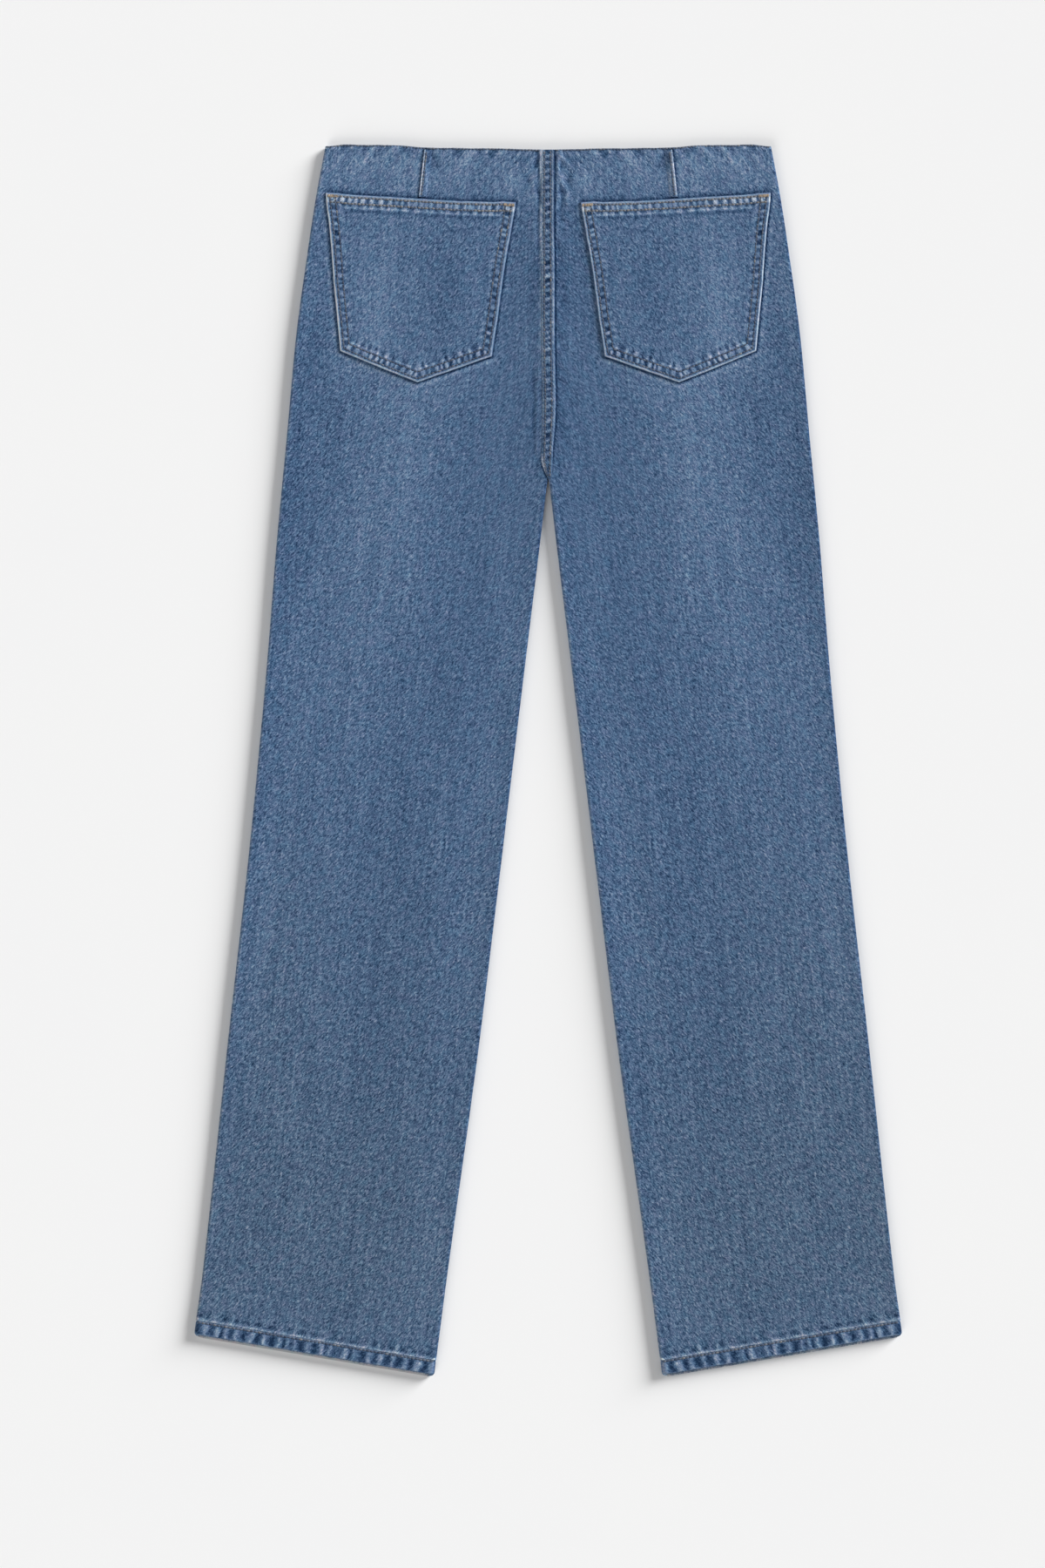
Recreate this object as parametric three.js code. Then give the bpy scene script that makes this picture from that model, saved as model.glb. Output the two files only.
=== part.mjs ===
// Straight leg jeans laid flat with the back side up. Each piece that is cut and sewn is a closed wall of
// cloth: two back panels that turn round the side and inside edges, two front panels flat on the surface,
// two patch pockets, the felled centre seam, a dart on each side, two turned hems, and the fly's button.
// Millimetres. +X points to the wearer's right, +Y from the hems to the waist, +Z up from the surface.
import * as THREE from "three";

// Driving dimensions
const CLOTH = 1.2; // one ply of washed denim
const SEAM_GAP = 0.3; // between two pieces at a seam
const EDGE_HEIGHT = 6; // laid height where seam allowances hold the cloth up
const MID_HEIGHT = 4.4; // laid height where the back sinks onto the front
const EDGE_FALL = 16; // how far from an edge the cloth takes to sink
const END_FALL = 34; // the same below the waist and above the hem
const SEAM_TURN = 4; // flat run of a back panel under the leg, up to the seam

const WAIST = 517; // height of the waist at the centre back
const WAIST_RISE = 3; // the waist is this much higher at the sides
const CROTCH = 237; // height of the point where the legs part
const TURN_START = 246; // the inside edge turns under between these two heights
const TURN_END = 232.5;
const HEM = -519.5; // hem fold at the inside corner
const HEM_TILT = 34.5; // the hem is this much higher at the side corner
const HEM_DEPTH = 12;
const HEM_CLOTH = 2.4; // three plies, pressed
const HEM_PROUD = 0.6; // the hem stands this much higher than the leg
const HEM_ROUND = 1.2; // its upper and lower edges thin over this depth
const HEM_THIN = 0.4; // by this much
const FRONT_HEM_DROP = 1; // the front hem shows this much below the back hem
const FRONT_DIP = 12; // the front waist lies this much lower at the centre
const FRONT_SIDE_DIP = 2; // and this much lower at the sides

const POCKET_CLOTH = 1.3;
const POCKET_EDGE_CLOTH = 1.9; // where the pocket's edge is turned under
const POCKET_ROUND = 0.6; // the fold at the very edge is this much lower
const SEAT_SEAM_TIP = 238.2; // lower end of the centre seam, just above the crotch
const SEAT_SEAM_TAPER = 15; // length over which it narrows
const SEAT_SEAM_TIP_SHARE = 0.12; // width left at the tip
const SEAT_SEAM_DIP = 1; // how far its tip bends down towards the crotch
const SEAT_SEAM_STEPS = 22;
const SEAT_SEAM_TAPER_STEPS = 4;

const BUTTON_RADIUS = 8.5;
const BUTTON_HEIGHT = 2.2;
const BUTTON_BELOW_WAIST = 10;
const BUTTON_LIFT = { flat: 14.5, end: 30 }; // radii between which the front comes back down

// Outline seen from above: distance from the centre line at each height
const SIDE_EDGE = [
  { y: 520, out: 188.7 },
  { y: 481, out: 196 },
  { y: 437, out: 202.8 },
  { y: 363, out: 213 },
  { y: 275, out: 221.3 },
  { y: 186, out: 229.8 },
  { y: 98, out: 236.8 },
  { y: 10, out: 244.7 },
  { y: -79, out: 253.5 },
  { y: -256, out: 273.2 },
  { y: -433, out: 292.6 },
  { y: -485.5, out: 300 },
];
const INSIDE_EDGE = [
  { y: 237, out: 0.4 },
  { y: 231, out: 1.4 },
  { y: 186, out: 6.7 },
  { y: 98, out: 17.5 },
  { y: 10, out: 28.2 },
  { y: -167, out: 49.6 },
  { y: -256, out: 60.6 },
  { y: -433, out: 85.2 },
  { y: -519.5, out: 96.5 },
];

// Shares of the crotch turn over which the front's inside edge steps out of the way of the back's
const FRONT_CLEAR = { from: 0.2, to: 0.65 };

// Rows of cloth: height at the inner end, and the steps down to the next stop
const LEG_STOPS = [
  { y: TURN_START, steps: 4 },
  { y: TURN_END, steps: 15 },
  { y: -432, steps: 3 },
  { y: HEM + HEM_DEPTH + SEAM_GAP, steps: 0 },
];
const BACK_STOPS = [{ y: WAIST, steps: 2 }, { y: 488, steps: 9 }, ...LEG_STOPS];
const FRONT_STOPS = [{ y: WAIST - FRONT_DIP, steps: 7 }, { y: 468, steps: 7 }, ...LEG_STOPS];

// Where the columns of a panel lie between its two edges, as shares of the way
const BACK_COLUMNS = [0.03, 0.09, 0.2, 0.35, 0.5, 0.65, 0.8, 0.91, 0.97];
const FRONT_COLUMNS = [0, 0.03, 0.065, 0.1, 0.155, 0.5, 1];
const HEM_COLUMNS = [0.25, 0.5, 0.75];
const TURN_STEPS = 4; // facets of a half turn

// Soft ridges and troughs along the laid cloth, on both halves
const SOFT_FOLDS = [
  { topOut: 64, topY: 170, bottomOut: 118, bottomY: -440, width: 15, height: 0.5 },
  { topOut: 128, topY: 60, bottomOut: 176, bottomY: -450, width: 24, height: -0.55 },
  { topOut: 196, topY: 120, bottomOut: 236, bottomY: -330, width: 16, height: 0.35 },
  { topOut: 150, topY: 310, bottomOut: 112, bottomY: 60, width: 24, height: 0.45 },
  { topOut: 60, topY: 330, bottomOut: 66, bottomY: 110, width: 18, height: -0.35 },
  { topOut: 78, topY: 500, bottomOut: 70, bottomY: 300, width: 20, height: 0.3 },
];

// Patch pocket: five corners
const POCKET = {
  innerTop: { out: 27, y: 471.8 },
  outerTop: { out: 188, y: 480 },
  innerLow: { out: 47.7, y: 342.6 },
  tip: { out: 110.6, y: 320.4 },
  outerLow: { out: 175.7, y: 346.6 },
};
const POCKET_STATIONS = [0, 0.01, 0.065, 0.09, 0.24, 0.37, 0.5, 0.63, 0.76, 0.91, 0.935, 0.99, 1];
const POCKET_EDGE_SHARE = 0.07; // the turned edge, as a share of the pocket's width

// Felled centre seam: thickness across it, from its flat side to its folded edge
const SEAT_SEAM_SECTION = [
  { x: -5.8, thick: 0.5 },
  { x: -4.8, thick: 1.1 },
  { x: 0, thick: 1.2 },
  { x: 4.6, thick: 1.5 },
  { x: 5.4, thick: 1.1 },
];

// Dart: its fold runs from the waist to the pocket, and the thicker cloth lies towards the centre
const DART = { topOut: 104.5, topY: 516, bottomOut: 109, bottomY: 477.5, steps: 5 };
const DART_SECTION = [
  { in: 7, thick: 0.35 },
  { in: 3.5, thick: 0.8 },
  { in: 0.6, thick: 1.1 },
  { in: 0, thick: 0.8 },
];

const COLOURS = {
  denim: 0x516785,
  pocket: 0x566c8a,
  seam: 0x4e6280,
  metal: 0x8d8170,
};

const lerp = THREE.MathUtils.lerp;

// Smooth curve through a table of { y, out } rows, highest row first
function edgeAt(table, y) {
  let k = 0;
  while (k < table.length - 2 && y < table[k + 1].y) k++;
  const before = table[Math.max(k - 1, 0)];
  const start = table[k];
  const end = table[k + 1];
  const after = table[Math.min(k + 2, table.length - 1)];
  const span = end.y - start.y;
  const s = (y - start.y) / span;
  const startSlope = ((end.out - before.out) / (end.y - before.y)) * span;
  const endSlope = ((after.out - start.out) / (after.y - start.y)) * span;
  const s2 = s * s;
  const s3 = s2 * s;
  return (
    (2 * s3 - 3 * s2 + 1) * start.out +
    (s3 - 2 * s2 + s) * startSlope +
    (3 * s2 - 2 * s3) * end.out +
    (s3 - s2) * endSlope
  );
}

// One row of cloth: its two ends on the outline, its direction, and how far its inside edge has turned under
function rowAt(innerY, dip) {
  const seat = Math.max(0, (innerY - TURN_START) / (WAIST - TURN_START));
  const leg = Math.max(0, (TURN_END - innerY) / (TURN_END - HEM));
  const outerY = innerY + WAIST_RISE * seat + dip * seat * seat + HEM_TILT * leg;
  const inner = new THREE.Vector2(SEAM_GAP / 2, innerY);
  if (innerY < CROTCH) inner.x = edgeAt(INSIDE_EDGE, innerY);
  const outer = new THREE.Vector2(edgeAt(SIDE_EDGE, outerY), outerY);
  const curl = THREE.MathUtils.clamp((TURN_START - innerY) / (TURN_START - TURN_END), 0, 1);
  const across = outer.clone().sub(inner);
  return { inner, outer, curl, width: across.length(), along: across.normalize() };
}

function rowsOf(stops, dip) {
  const rows = [];
  stops.forEach((stop, k) => {
    for (let i = 0; i < stop.steps; i++) {
      rows.push(rowAt(lerp(stop.y, stops[k + 1].y, i / stop.steps), dip));
    }
  });
  rows.push(rowAt(stops.at(-1).y, dip));
  return rows;
}

// Sum of the soft ridges and troughs at a place
function foldHeight(out, y) {
  let sum = 0;
  for (const fold of SOFT_FOLDS) {
    const t = (fold.topY - y) / (fold.topY - fold.bottomY);
    if (t <= 0 || t >= 1) continue;
    const off = (out - lerp(fold.topOut, fold.bottomOut, t)) / fold.width;
    sum += fold.height * Math.sin(Math.PI * t) * Math.exp(-off * off);
  }
  return sum;
}

// Height of the back's outer face: held up along every edge, lower between them
function backHeight(out, y, fromInside, fromSide) {
  const margin = EDGE_HEIGHT / 2;
  const sunk =
    (1 - Math.exp(-Math.max(0, fromInside - margin) / EDGE_FALL)) *
    (1 - Math.exp(-Math.max(0, fromSide - margin) / EDGE_FALL)) *
    (1 - Math.exp(-Math.max(0, WAIST - y) / END_FALL)) *
    (1 - Math.exp(-Math.max(0, y - hemTopAt(out)) / END_FALL));
  return lerp(EDGE_HEIGHT, MID_HEIGHT, sunk) + sunk * foldHeight(out, y);
}

// Height of the upper edge of the hem's band at a distance from the centre line
function hemTopAt(out) {
  const first = INSIDE_EDGE.at(-1).out;
  const last = SIDE_EDGE.at(-1).out;
  return HEM + HEM_DEPTH + (HEM_TILT * (out - first)) / (last - first);
}

// The same on the seat, where a place is given by itself
function seatHeight(out, y) {
  return backHeight(out, y, Math.abs(out), edgeAt(SIDE_EDGE, y) - Math.abs(out));
}

// Cloth that runs past the flat part of the leg and turns round its edge: the place of its middle, measured
// in from the outline, its height, and the angle that its face has turned through
function turnedEdge(run, curl, height, cloth, lip) {
  const radius = (height - cloth) / 2;
  const angle = Math.PI * curl;
  const under = lip * Math.max(0, 2 * curl - 1);
  const level = Math.PI * radius + lip - radius * angle - under;
  const start = (curl < 0.5 ? Math.sin(angle) : 1) * (radius + cloth / 2);
  const top = height - cloth / 2;
  if (run <= level) return { from: start + level - run, z: top, turn: 0 };
  const turn = Math.min(angle, (run - level) / radius);
  const rest = Math.max(0, run - level - radius * angle);
  return {
    from: start - radius * Math.sin(turn) - rest * Math.cos(turn),
    z: top - radius * (1 - Math.cos(turn)) - rest * Math.sin(turn),
    turn,
  };
}

// Lengths of cloth past the flat part at which a turned edge has its columns, nearest first
function turnRuns(height, cloth, lip) {
  const half = (Math.PI * (height - cloth)) / 2;
  const runs = Array.from({ length: TURN_STEPS + 1 }, (_, k) => (half * k) / TURN_STEPS);
  return lip > 0 ? [...runs, half + lip] : runs;
}

// Outer and inner point of a wall from the place of its middle and its turn
function wallPair(place, cloth) {
  const half = cloth / 2;
  const dFrom = -Math.sin(place.turn) * half;
  const dZ = Math.cos(place.turn) * half;
  const lift = Math.max(0, -(place.z + dZ));
  return {
    outer: { from: place.from + dFrom, z: place.z + dZ + lift },
    inner: { from: place.from - dFrom, z: place.z - dZ + lift },
  };
}

// Point of a row at a distance from its inner or outer end, on the half of the garment that side names
const fromInner = (row, side, p) =>
  new THREE.Vector3(side * (row.inner.x + row.along.x * p.from), row.inner.y + row.along.y * p.from, p.z);
const fromOuter = (row, side, p) =>
  new THREE.Vector3(side * (row.outer.x - row.along.x * p.from), row.outer.y - row.along.y * p.from, p.z);

// Closed solid between two grids of points. wrapped: each row closes on itself, as round a leg.
function wallSolid(outer, inner, wrapped = false) {
  const rows = outer.length;
  const columns = outer[0].length;
  const spans = wrapped ? columns : columns - 1;
  const points = [...outer.flat(), ...inner.flat()];
  const outerAt = (i, j) => i * columns + (j % columns);
  const innerAt = (i, j) => rows * columns + outerAt(i, j);
  const index = [];
  const quad = (a, b, c, d) => index.push(a, b, c, a, c, d);
  for (let i = 0; i < rows - 1; i++) {
    for (let j = 0; j < spans; j++) {
      quad(outerAt(i, j), outerAt(i + 1, j), outerAt(i + 1, j + 1), outerAt(i, j + 1));
      quad(innerAt(i, j), innerAt(i, j + 1), innerAt(i + 1, j + 1), innerAt(i + 1, j));
    }
  }
  for (let j = 0; j < spans; j++) {
    quad(outerAt(0, j), outerAt(0, j + 1), innerAt(0, j + 1), innerAt(0, j));
    quad(outerAt(rows - 1, j + 1), outerAt(rows - 1, j), innerAt(rows - 1, j), innerAt(rows - 1, j + 1));
  }
  if (!wrapped) {
    for (let i = 0; i < rows - 1; i++) {
      quad(outerAt(i + 1, 0), outerAt(i, 0), innerAt(i, 0), innerAt(i + 1, 0));
      quad(outerAt(i, spans), outerAt(i + 1, spans), innerAt(i + 1, spans), innerAt(i, spans));
    }
  }
  if (signedVolume(points, index) < 0) index.reverse();
  const geometry = new THREE.BufferGeometry().setFromPoints(points);
  geometry.setIndex(index);
  geometry.computeVertexNormals();
  return geometry;
}

function signedVolume(points, index) {
  let sum = 0;
  for (let k = 0; k < index.length; k += 3) {
    const [a, b, c] = [points[index[k]], points[index[k + 1]], points[index[k + 2]]];
    sum += a.dot(b.clone().cross(c));
  }
  return sum / 6;
}

// Back panel: from the seam under the inside edge, over the top, to the seam under the side edge
function backPanel(side) {
  const runs = turnRuns(EDGE_HEIGHT, CLOTH, SEAM_TURN);
  const outer = [];
  const inner = [];
  for (const row of rowsOf(BACK_STOPS, 0)) {
    const pairs = [];
    const addTop = (from) => {
      const place = fromInner(row, 1, { from, z: 0 });
      const z = backHeight(place.x, place.y, from, row.width - from);
      pairs.push([fromInner(row, side, { from, z }), fromInner(row, side, { from, z: z - CLOTH })]);
    };
    const addTurned = (place, put) => {
      const pair = wallPair(place, CLOTH);
      pairs.push([put(row, side, pair.outer), put(row, side, pair.inner)]);
    };
    const insideEnds = runs.map((run) => turnedEdge(run, row.curl, EDGE_HEIGHT, CLOTH, SEAM_TURN));
    const sideEnds = runs.map((run) => turnedEdge(run, 1, EDGE_HEIGHT, CLOTH, SEAM_TURN));
    for (const place of [...insideEnds].reverse()) {
      if (place.turn > 0) addTurned(place, fromInner);
      else addTop(place.from);
    }
    for (const share of BACK_COLUMNS) {
      addTop(lerp(insideEnds[0].from, row.width - sideEnds[0].from, share));
    }
    sideEnds.forEach((place) => addTurned(place, fromOuter));
    outer.push(pairs.map((pair) => pair[0]));
    inner.push(pairs.map((pair) => pair[1]));
  }
  return wallSolid(outer, inner);
}

// Front panel: flat on the surface between the seams, lifted over the button at the waist
function frontPanel(side) {
  const inset = EDGE_HEIGHT / 2 + SEAM_TURN + SEAM_GAP;
  const top = [];
  const bottom = [];
  for (const row of rowsOf(FRONT_STOPS, FRONT_DIP - FRONT_SIDE_DIP)) {
    const start = inset * THREE.MathUtils.smoothstep(row.curl, FRONT_CLEAR.from, FRONT_CLEAR.to);
    const places = FRONT_COLUMNS.map((share) => {
      const from = lerp(start, row.width - inset, share);
      const place = fromInner(row, side, { from, z: 0 });
      place.z = buttonLift(place);
      return place;
    });
    bottom.push(places);
    top.push(places.map((place) => place.clone().setZ(place.z + CLOTH)));
  }
  return wallSolid(top, bottom);
}

const BUTTON_CENTRE = new THREE.Vector2(0, WAIST - FRONT_DIP - BUTTON_BELOW_WAIST);

function buttonLift(place) {
  const distance = Math.hypot(place.x - BUTTON_CENTRE.x, place.y - BUTTON_CENTRE.y);
  const down = THREE.MathUtils.smoothstep(distance, BUTTON_LIFT.flat, BUTTON_LIFT.end);
  return (BUTTON_HEIGHT + SEAM_GAP) * (1 - down);
}

// Turned hem: a flattened ring round the end of the leg
function hem(side) {
  const height = EDGE_HEIGHT + HEM_PROUD;
  const runs = turnRuns(height, HEM_CLOTH, 0);
  const outer = [];
  const inner = [];
  const bands = [
    { down: 0, thin: HEM_THIN },
    { down: HEM_ROUND, thin: 0 },
    { down: HEM_DEPTH - HEM_ROUND, thin: 0 },
    { down: HEM_DEPTH, thin: HEM_THIN },
  ];
  for (const band of bands) {
    const row = rowAt(HEM + HEM_DEPTH - band.down, 0);
    const flatWidth = row.width - height;
    const share = band.down / HEM_DEPTH;
    const pairs = [];
    const add = (place, shift, put) => {
      const pair = wallPair(place, HEM_CLOTH);
      const points = [put(row, side, pair.outer), put(row, side, pair.inner)];
      points[0].lerp(points[1], band.thin / HEM_CLOTH);
      points.forEach((point) => (point.y -= shift));
      pairs.push(points);
    };
    const frontDrop = (turn) => (FRONT_HEM_DROP * share * turn) / Math.PI;
    const ends = runs.map((run) => turnedEdge(run, 1, height, HEM_CLOTH, 0));
    for (const part of HEM_COLUMNS) {
      const place = { from: height / 2 + flatWidth * part, z: height - HEM_CLOTH / 2, turn: 0 };
      add(place, 0, fromInner);
    }
    ends.forEach((place) => add(place, frontDrop(place.turn), fromOuter));
    for (const part of HEM_COLUMNS) {
      const place = { from: height / 2 + flatWidth * part, z: HEM_CLOTH / 2, turn: Math.PI };
      add(place, FRONT_HEM_DROP * share, fromOuter);
    }
    [...ends].reverse().forEach((place) => add(place, frontDrop(place.turn), fromInner));
    outer.push(pairs.map((pair) => pair[0]));
    inner.push(pairs.map((pair) => pair[1]));
  }
  return wallSolid(outer, inner, true);
}

// Patch pocket: its points are the back's, moved out, and its turned edge is thicker
function pocket(side) {
  const { innerTop, outerTop, innerLow, tip, outerLow } = POCKET;
  const between = (a, b, t) => ({ out: lerp(a.out, b.out, t), y: lerp(a.y, b.y, t) });
  const lowAt = (u) => (u < 0.5 ? between(innerLow, tip, 2 * u) : between(tip, outerLow, 2 * u - 1));
  const top = [];
  const bottom = [];
  for (const v of POCKET_STATIONS) {
    const places = POCKET_STATIONS.map((u) => {
      const { out, y } = between(between(innerTop, outerTop, u), lowAt(u), v);
      const edge = Math.min(u, 1 - u, v, 1 - v);
      return { out, y, base: seatHeight(out, y) + SEAM_GAP, edge };
    });
    bottom.push(places.map((p) => new THREE.Vector3(side * p.out, p.y, p.base)));
    top.push(places.map((p) => new THREE.Vector3(side * p.out, p.y, p.base + pocketCloth(p.edge))));
  }
  return wallSolid(top, bottom);
}

function pocketCloth(edge) {
  const rounded = edge === 0 ? POCKET_ROUND : 0;
  return (edge < POCKET_EDGE_SHARE ? POCKET_EDGE_CLOTH : POCKET_CLOTH) - rounded;
}

// Felled seam down the centre back, tapering to its end above the crotch
function seatSeam() {
  const taperTop = SEAT_SEAM_TIP + SEAT_SEAM_TAPER;
  const heights = [];
  for (let i = 0; i < SEAT_SEAM_STEPS; i++) {
    heights.push(lerp(WAIST, taperTop, i / SEAT_SEAM_STEPS));
  }
  for (let i = 0; i <= SEAT_SEAM_TAPER_STEPS; i++) {
    heights.push(lerp(taperTop, SEAT_SEAM_TIP, i / SEAT_SEAM_TAPER_STEPS));
  }
  const top = [];
  const bottom = [];
  for (const y of heights) {
    const tapered = THREE.MathUtils.clamp((taperTop - y) / SEAT_SEAM_TAPER, 0, 1);
    const narrow = lerp(1, SEAT_SEAM_TIP_SHARE, tapered * tapered);
    const dip = SEAT_SEAM_DIP * tapered ** 6;
    const base = (x) => seatHeight(x, y) + SEAM_GAP - dip;
    const across = SEAT_SEAM_SECTION.map(({ x, thick }) => ({ x: x * narrow, thick }));
    bottom.push(across.map(({ x }) => new THREE.Vector3(x, y, base(x))));
    top.push(across.map(({ x, thick }) => new THREE.Vector3(x, y, base(x) + thick)));
  }
  return wallSolid(top, bottom);
}

function dart(side) {
  const top = [];
  const bottom = [];
  for (let i = 0; i <= DART.steps; i++) {
    const t = i / DART.steps;
    const fold = lerp(DART.topOut, DART.bottomOut, t);
    const y = lerp(DART.topY, DART.bottomY, t);
    const places = DART_SECTION.map((part) => ({ out: fold - part.in, thick: part.thick }));
    const base = (out) => seatHeight(out, y) + SEAM_GAP;
    bottom.push(places.map(({ out }) => new THREE.Vector3(side * out, y, base(out))));
    top.push(places.map(({ out, thick }) => new THREE.Vector3(side * out, y, base(out) + thick)));
  }
  return wallSolid(top, bottom);
}

// Low domed button that closes the fly, face down on the surface
function button() {
  const profile = [
    new THREE.Vector2(0, 0),
    new THREE.Vector2(BUTTON_RADIUS * 0.8, 0),
    new THREE.Vector2(BUTTON_RADIUS, BUTTON_HEIGHT * 0.35),
    new THREE.Vector2(BUTTON_RADIUS, BUTTON_HEIGHT * 0.8),
    new THREE.Vector2(BUTTON_RADIUS * 0.92, BUTTON_HEIGHT),
    new THREE.Vector2(0, BUTTON_HEIGHT),
  ];
  const turned = new THREE.LatheGeometry(profile, 24);
  turned.rotateX(Math.PI / 2);
  turned.translate(BUTTON_CENTRE.x, BUTTON_CENTRE.y, 0);
  return turned;
}

function piece(name, geometry, color, roughness = 0.92, metalness = 0) {
  const mesh = new THREE.Mesh(geometry, new THREE.MeshStandardMaterial({ color, roughness, metalness }));
  mesh.name = name;
  return mesh;
}

const LEFT = -1;
const RIGHT = 1;

const jeans = new THREE.Group();
for (const [name, side] of [["left", LEFT], ["right", RIGHT]]) {
  jeans.add(piece(`back_${name}`, backPanel(side), COLOURS.denim));
  jeans.add(piece(`front_${name}`, frontPanel(side), COLOURS.denim));
  jeans.add(piece(`pocket_${name}`, pocket(side), COLOURS.pocket));
  jeans.add(piece(`dart_${name}`, dart(side), COLOURS.denim));
  jeans.add(piece(`hem_${name}`, hem(side), COLOURS.seam));
}
jeans.add(piece("seat_seam", seatSeam(), COLOURS.seam));
jeans.add(piece("fly_button", button(), COLOURS.metal, 0.4, 1));

export default jeans;
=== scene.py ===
"""Straight leg jeans, laid flat with the back side up, dressed round the CAD frame.

Every piece of cloth is a thin closed shell on its solid's own form. Lengths are in millimetres until a mesh
is made. On each half, `out` is the distance from the centre line, and the right half mirrors the left.
"""

import math

import bpy
import numpy as np
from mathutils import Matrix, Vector


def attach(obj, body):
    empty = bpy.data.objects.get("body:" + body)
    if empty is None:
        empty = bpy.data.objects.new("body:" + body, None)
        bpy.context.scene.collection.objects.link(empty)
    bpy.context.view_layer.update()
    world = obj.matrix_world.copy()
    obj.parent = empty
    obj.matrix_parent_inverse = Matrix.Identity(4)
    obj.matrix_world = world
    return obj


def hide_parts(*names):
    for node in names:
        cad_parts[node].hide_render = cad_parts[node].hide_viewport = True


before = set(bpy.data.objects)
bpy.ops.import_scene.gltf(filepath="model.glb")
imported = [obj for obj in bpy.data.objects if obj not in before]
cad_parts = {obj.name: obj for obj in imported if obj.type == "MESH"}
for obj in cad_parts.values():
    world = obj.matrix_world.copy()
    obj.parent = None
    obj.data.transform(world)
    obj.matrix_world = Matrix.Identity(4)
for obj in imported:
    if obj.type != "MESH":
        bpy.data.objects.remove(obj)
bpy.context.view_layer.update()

MM = 0.001

# The part's own sizes
KEY_AZIMUTH = 55.0
KEY_ELEVATION = 17.5
KEY_SHARE = 0.58
SKY_SHARE = 0.21
KEY_GAIN = 44.0  # lightness that the whole key light adds
CLOTH = 1.2
SEAM_GAP = 0.3
EDGE_HEIGHT = 6.0
MID_HEIGHT = 4.4
EDGE_FALL = 16.0
END_FALL = 34.0
SEAM_TURN = 4.0
LEG_LEAN = 0.114
LEAN_START = 330.0
EDGE_SQUARE = 0.6
CRISPNESS = 0.96
WAIST = 517.0
WAIST_RISE = 3.0
WAIST_HALF = 188.7
CROTCH = 237.0
TURN_START = 246.0
TURN_END = 232.5
HEM = -519.5
HEM_TILT = 34.5
HEM_DEPTH = 12.0
HEM_CLOTH = 2.4
HEM_PROUD = 0.6
HEM_ROW = 1.0
FRONT_HEM_DROP = 2.6
HEM_CORNER = 1.8
FRONT_DIP = 12.0
FRONT_SIDE_DIP = 2.0
POCKET_CLOTH = 1.3
POCKET_EDGE_CLOTH = 1.9
POCKET_PRESSED = 0.6
SEAM_TIP = 238.2
SEAM_TAPER = 15.0
SEAM_TIP_SHARE = 0.12
BUTTON_HEIGHT = 2.2
BUTTON_Y = WAIST - FRONT_DIP - 10
BUTTON_LIFT = (14.5, 30.0)

SIDE_EDGE = np.array([  # height, distance from the centre line
    (520, 188.7), (481, 196), (437, 202.8), (363, 213), (275, 221.3), (186, 229.8), (98, 236.8),
    (10, 244.7), (-79, 253.5), (-256, 273.2), (-433, 292.6), (-485.5, 300),
], float)
INSIDE_EDGE = np.array([
    (237, 0.4), (231, 1.4), (186, 6.7), (98, 17.5), (10, 28.2), (-167, 49.6), (-256, 60.6),
    (-433, 85.2), (-519.5, 96.5),
], float)
SOFT_FOLDS = [  # top out, top y, bottom out, bottom y, width, height
    (64, 170, 118, -440, 15, 0.5), (128, 60, 176, -450, 24, -0.55), (196, 120, 236, -330, 16, 0.35),
    (150, 310, 112, 60, 24, 0.45), (60, 330, 66, 110, 18, -0.35), (78, 500, 70, 300, 20, 0.3),
]
POCKET_CORNERS = {
    "inner_top": (27, 471.8),
    "outer_top": (188, 480),
    "outer_low": (175.7, 346.6),
    "tip": (110.6, 320.4),
    "inner_low": (47.7, 342.6),
}
# For the top, inner side, inner low, outer low and outer side: place along the edge, how far it bows inwards
POCKET_BOWS = [
    [(0, -1.0), (10, -0.85), (22, -0.15), (58, -0.05), (82, 0.3), (112, 0.5), (130, 0.1), (142, -0.2),
     (150, -1.0)],
    [(0, 0.3), (16, 0.4), (34, 0.7), (52, 1.0), (64, 0.9), (82, 0.45), (96, 0.0), (131, -0.1)],
    [(0, -0.25), (40, -0.3), (62, 0.05)],
    [(0, -0.25), (34, -0.4), (56, -0.1), (66, 0.15)],
    [(0, -0.3), (30, -0.4), (58, -0.6), (70, -0.2), (90, 0.1), (106, 0.2), (118, -0.3), (126, -0.5),
     (134, -0.3)],
]
DART_TOP = (105.15, 516.0)
DART_LOW = (109.65, 477.5)
LEFT, RIGHT = -1, 1
SIDES = (("left", LEFT), ("right", RIGHT))


def lerp(a, b, t):
    return a + (b - a) * t


def smooth(a, b, x):
    t = np.clip((np.asarray(x, float) - a) / (b - a), 0, 1)
    return t * t * (3 - 2 * t)


def plateau(x, start, full, fall, end):
    """Rises from start to full, and falls from fall to end."""
    return smooth(start, full, x) * (1 - smooth(fall, end, x))


def bell(x, width):
    return np.exp(-((np.asarray(x, float) / width) ** 2))


# Uneven patterns, the same on each run
def noise_1d(s, pitch, seed):
    """Smooth random curve from -1 to 1 with a bend about every pitch."""
    values = np.random.default_rng(seed).uniform(-1, 1, 4096)
    x = np.asarray(s, float) / pitch + 1000.0
    k = np.floor(x).astype(int)
    t = x - k
    t = t * t * (3 - 2 * t)
    return lerp(values[k % 4096], values[(k + 1) % 4096], t)


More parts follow.
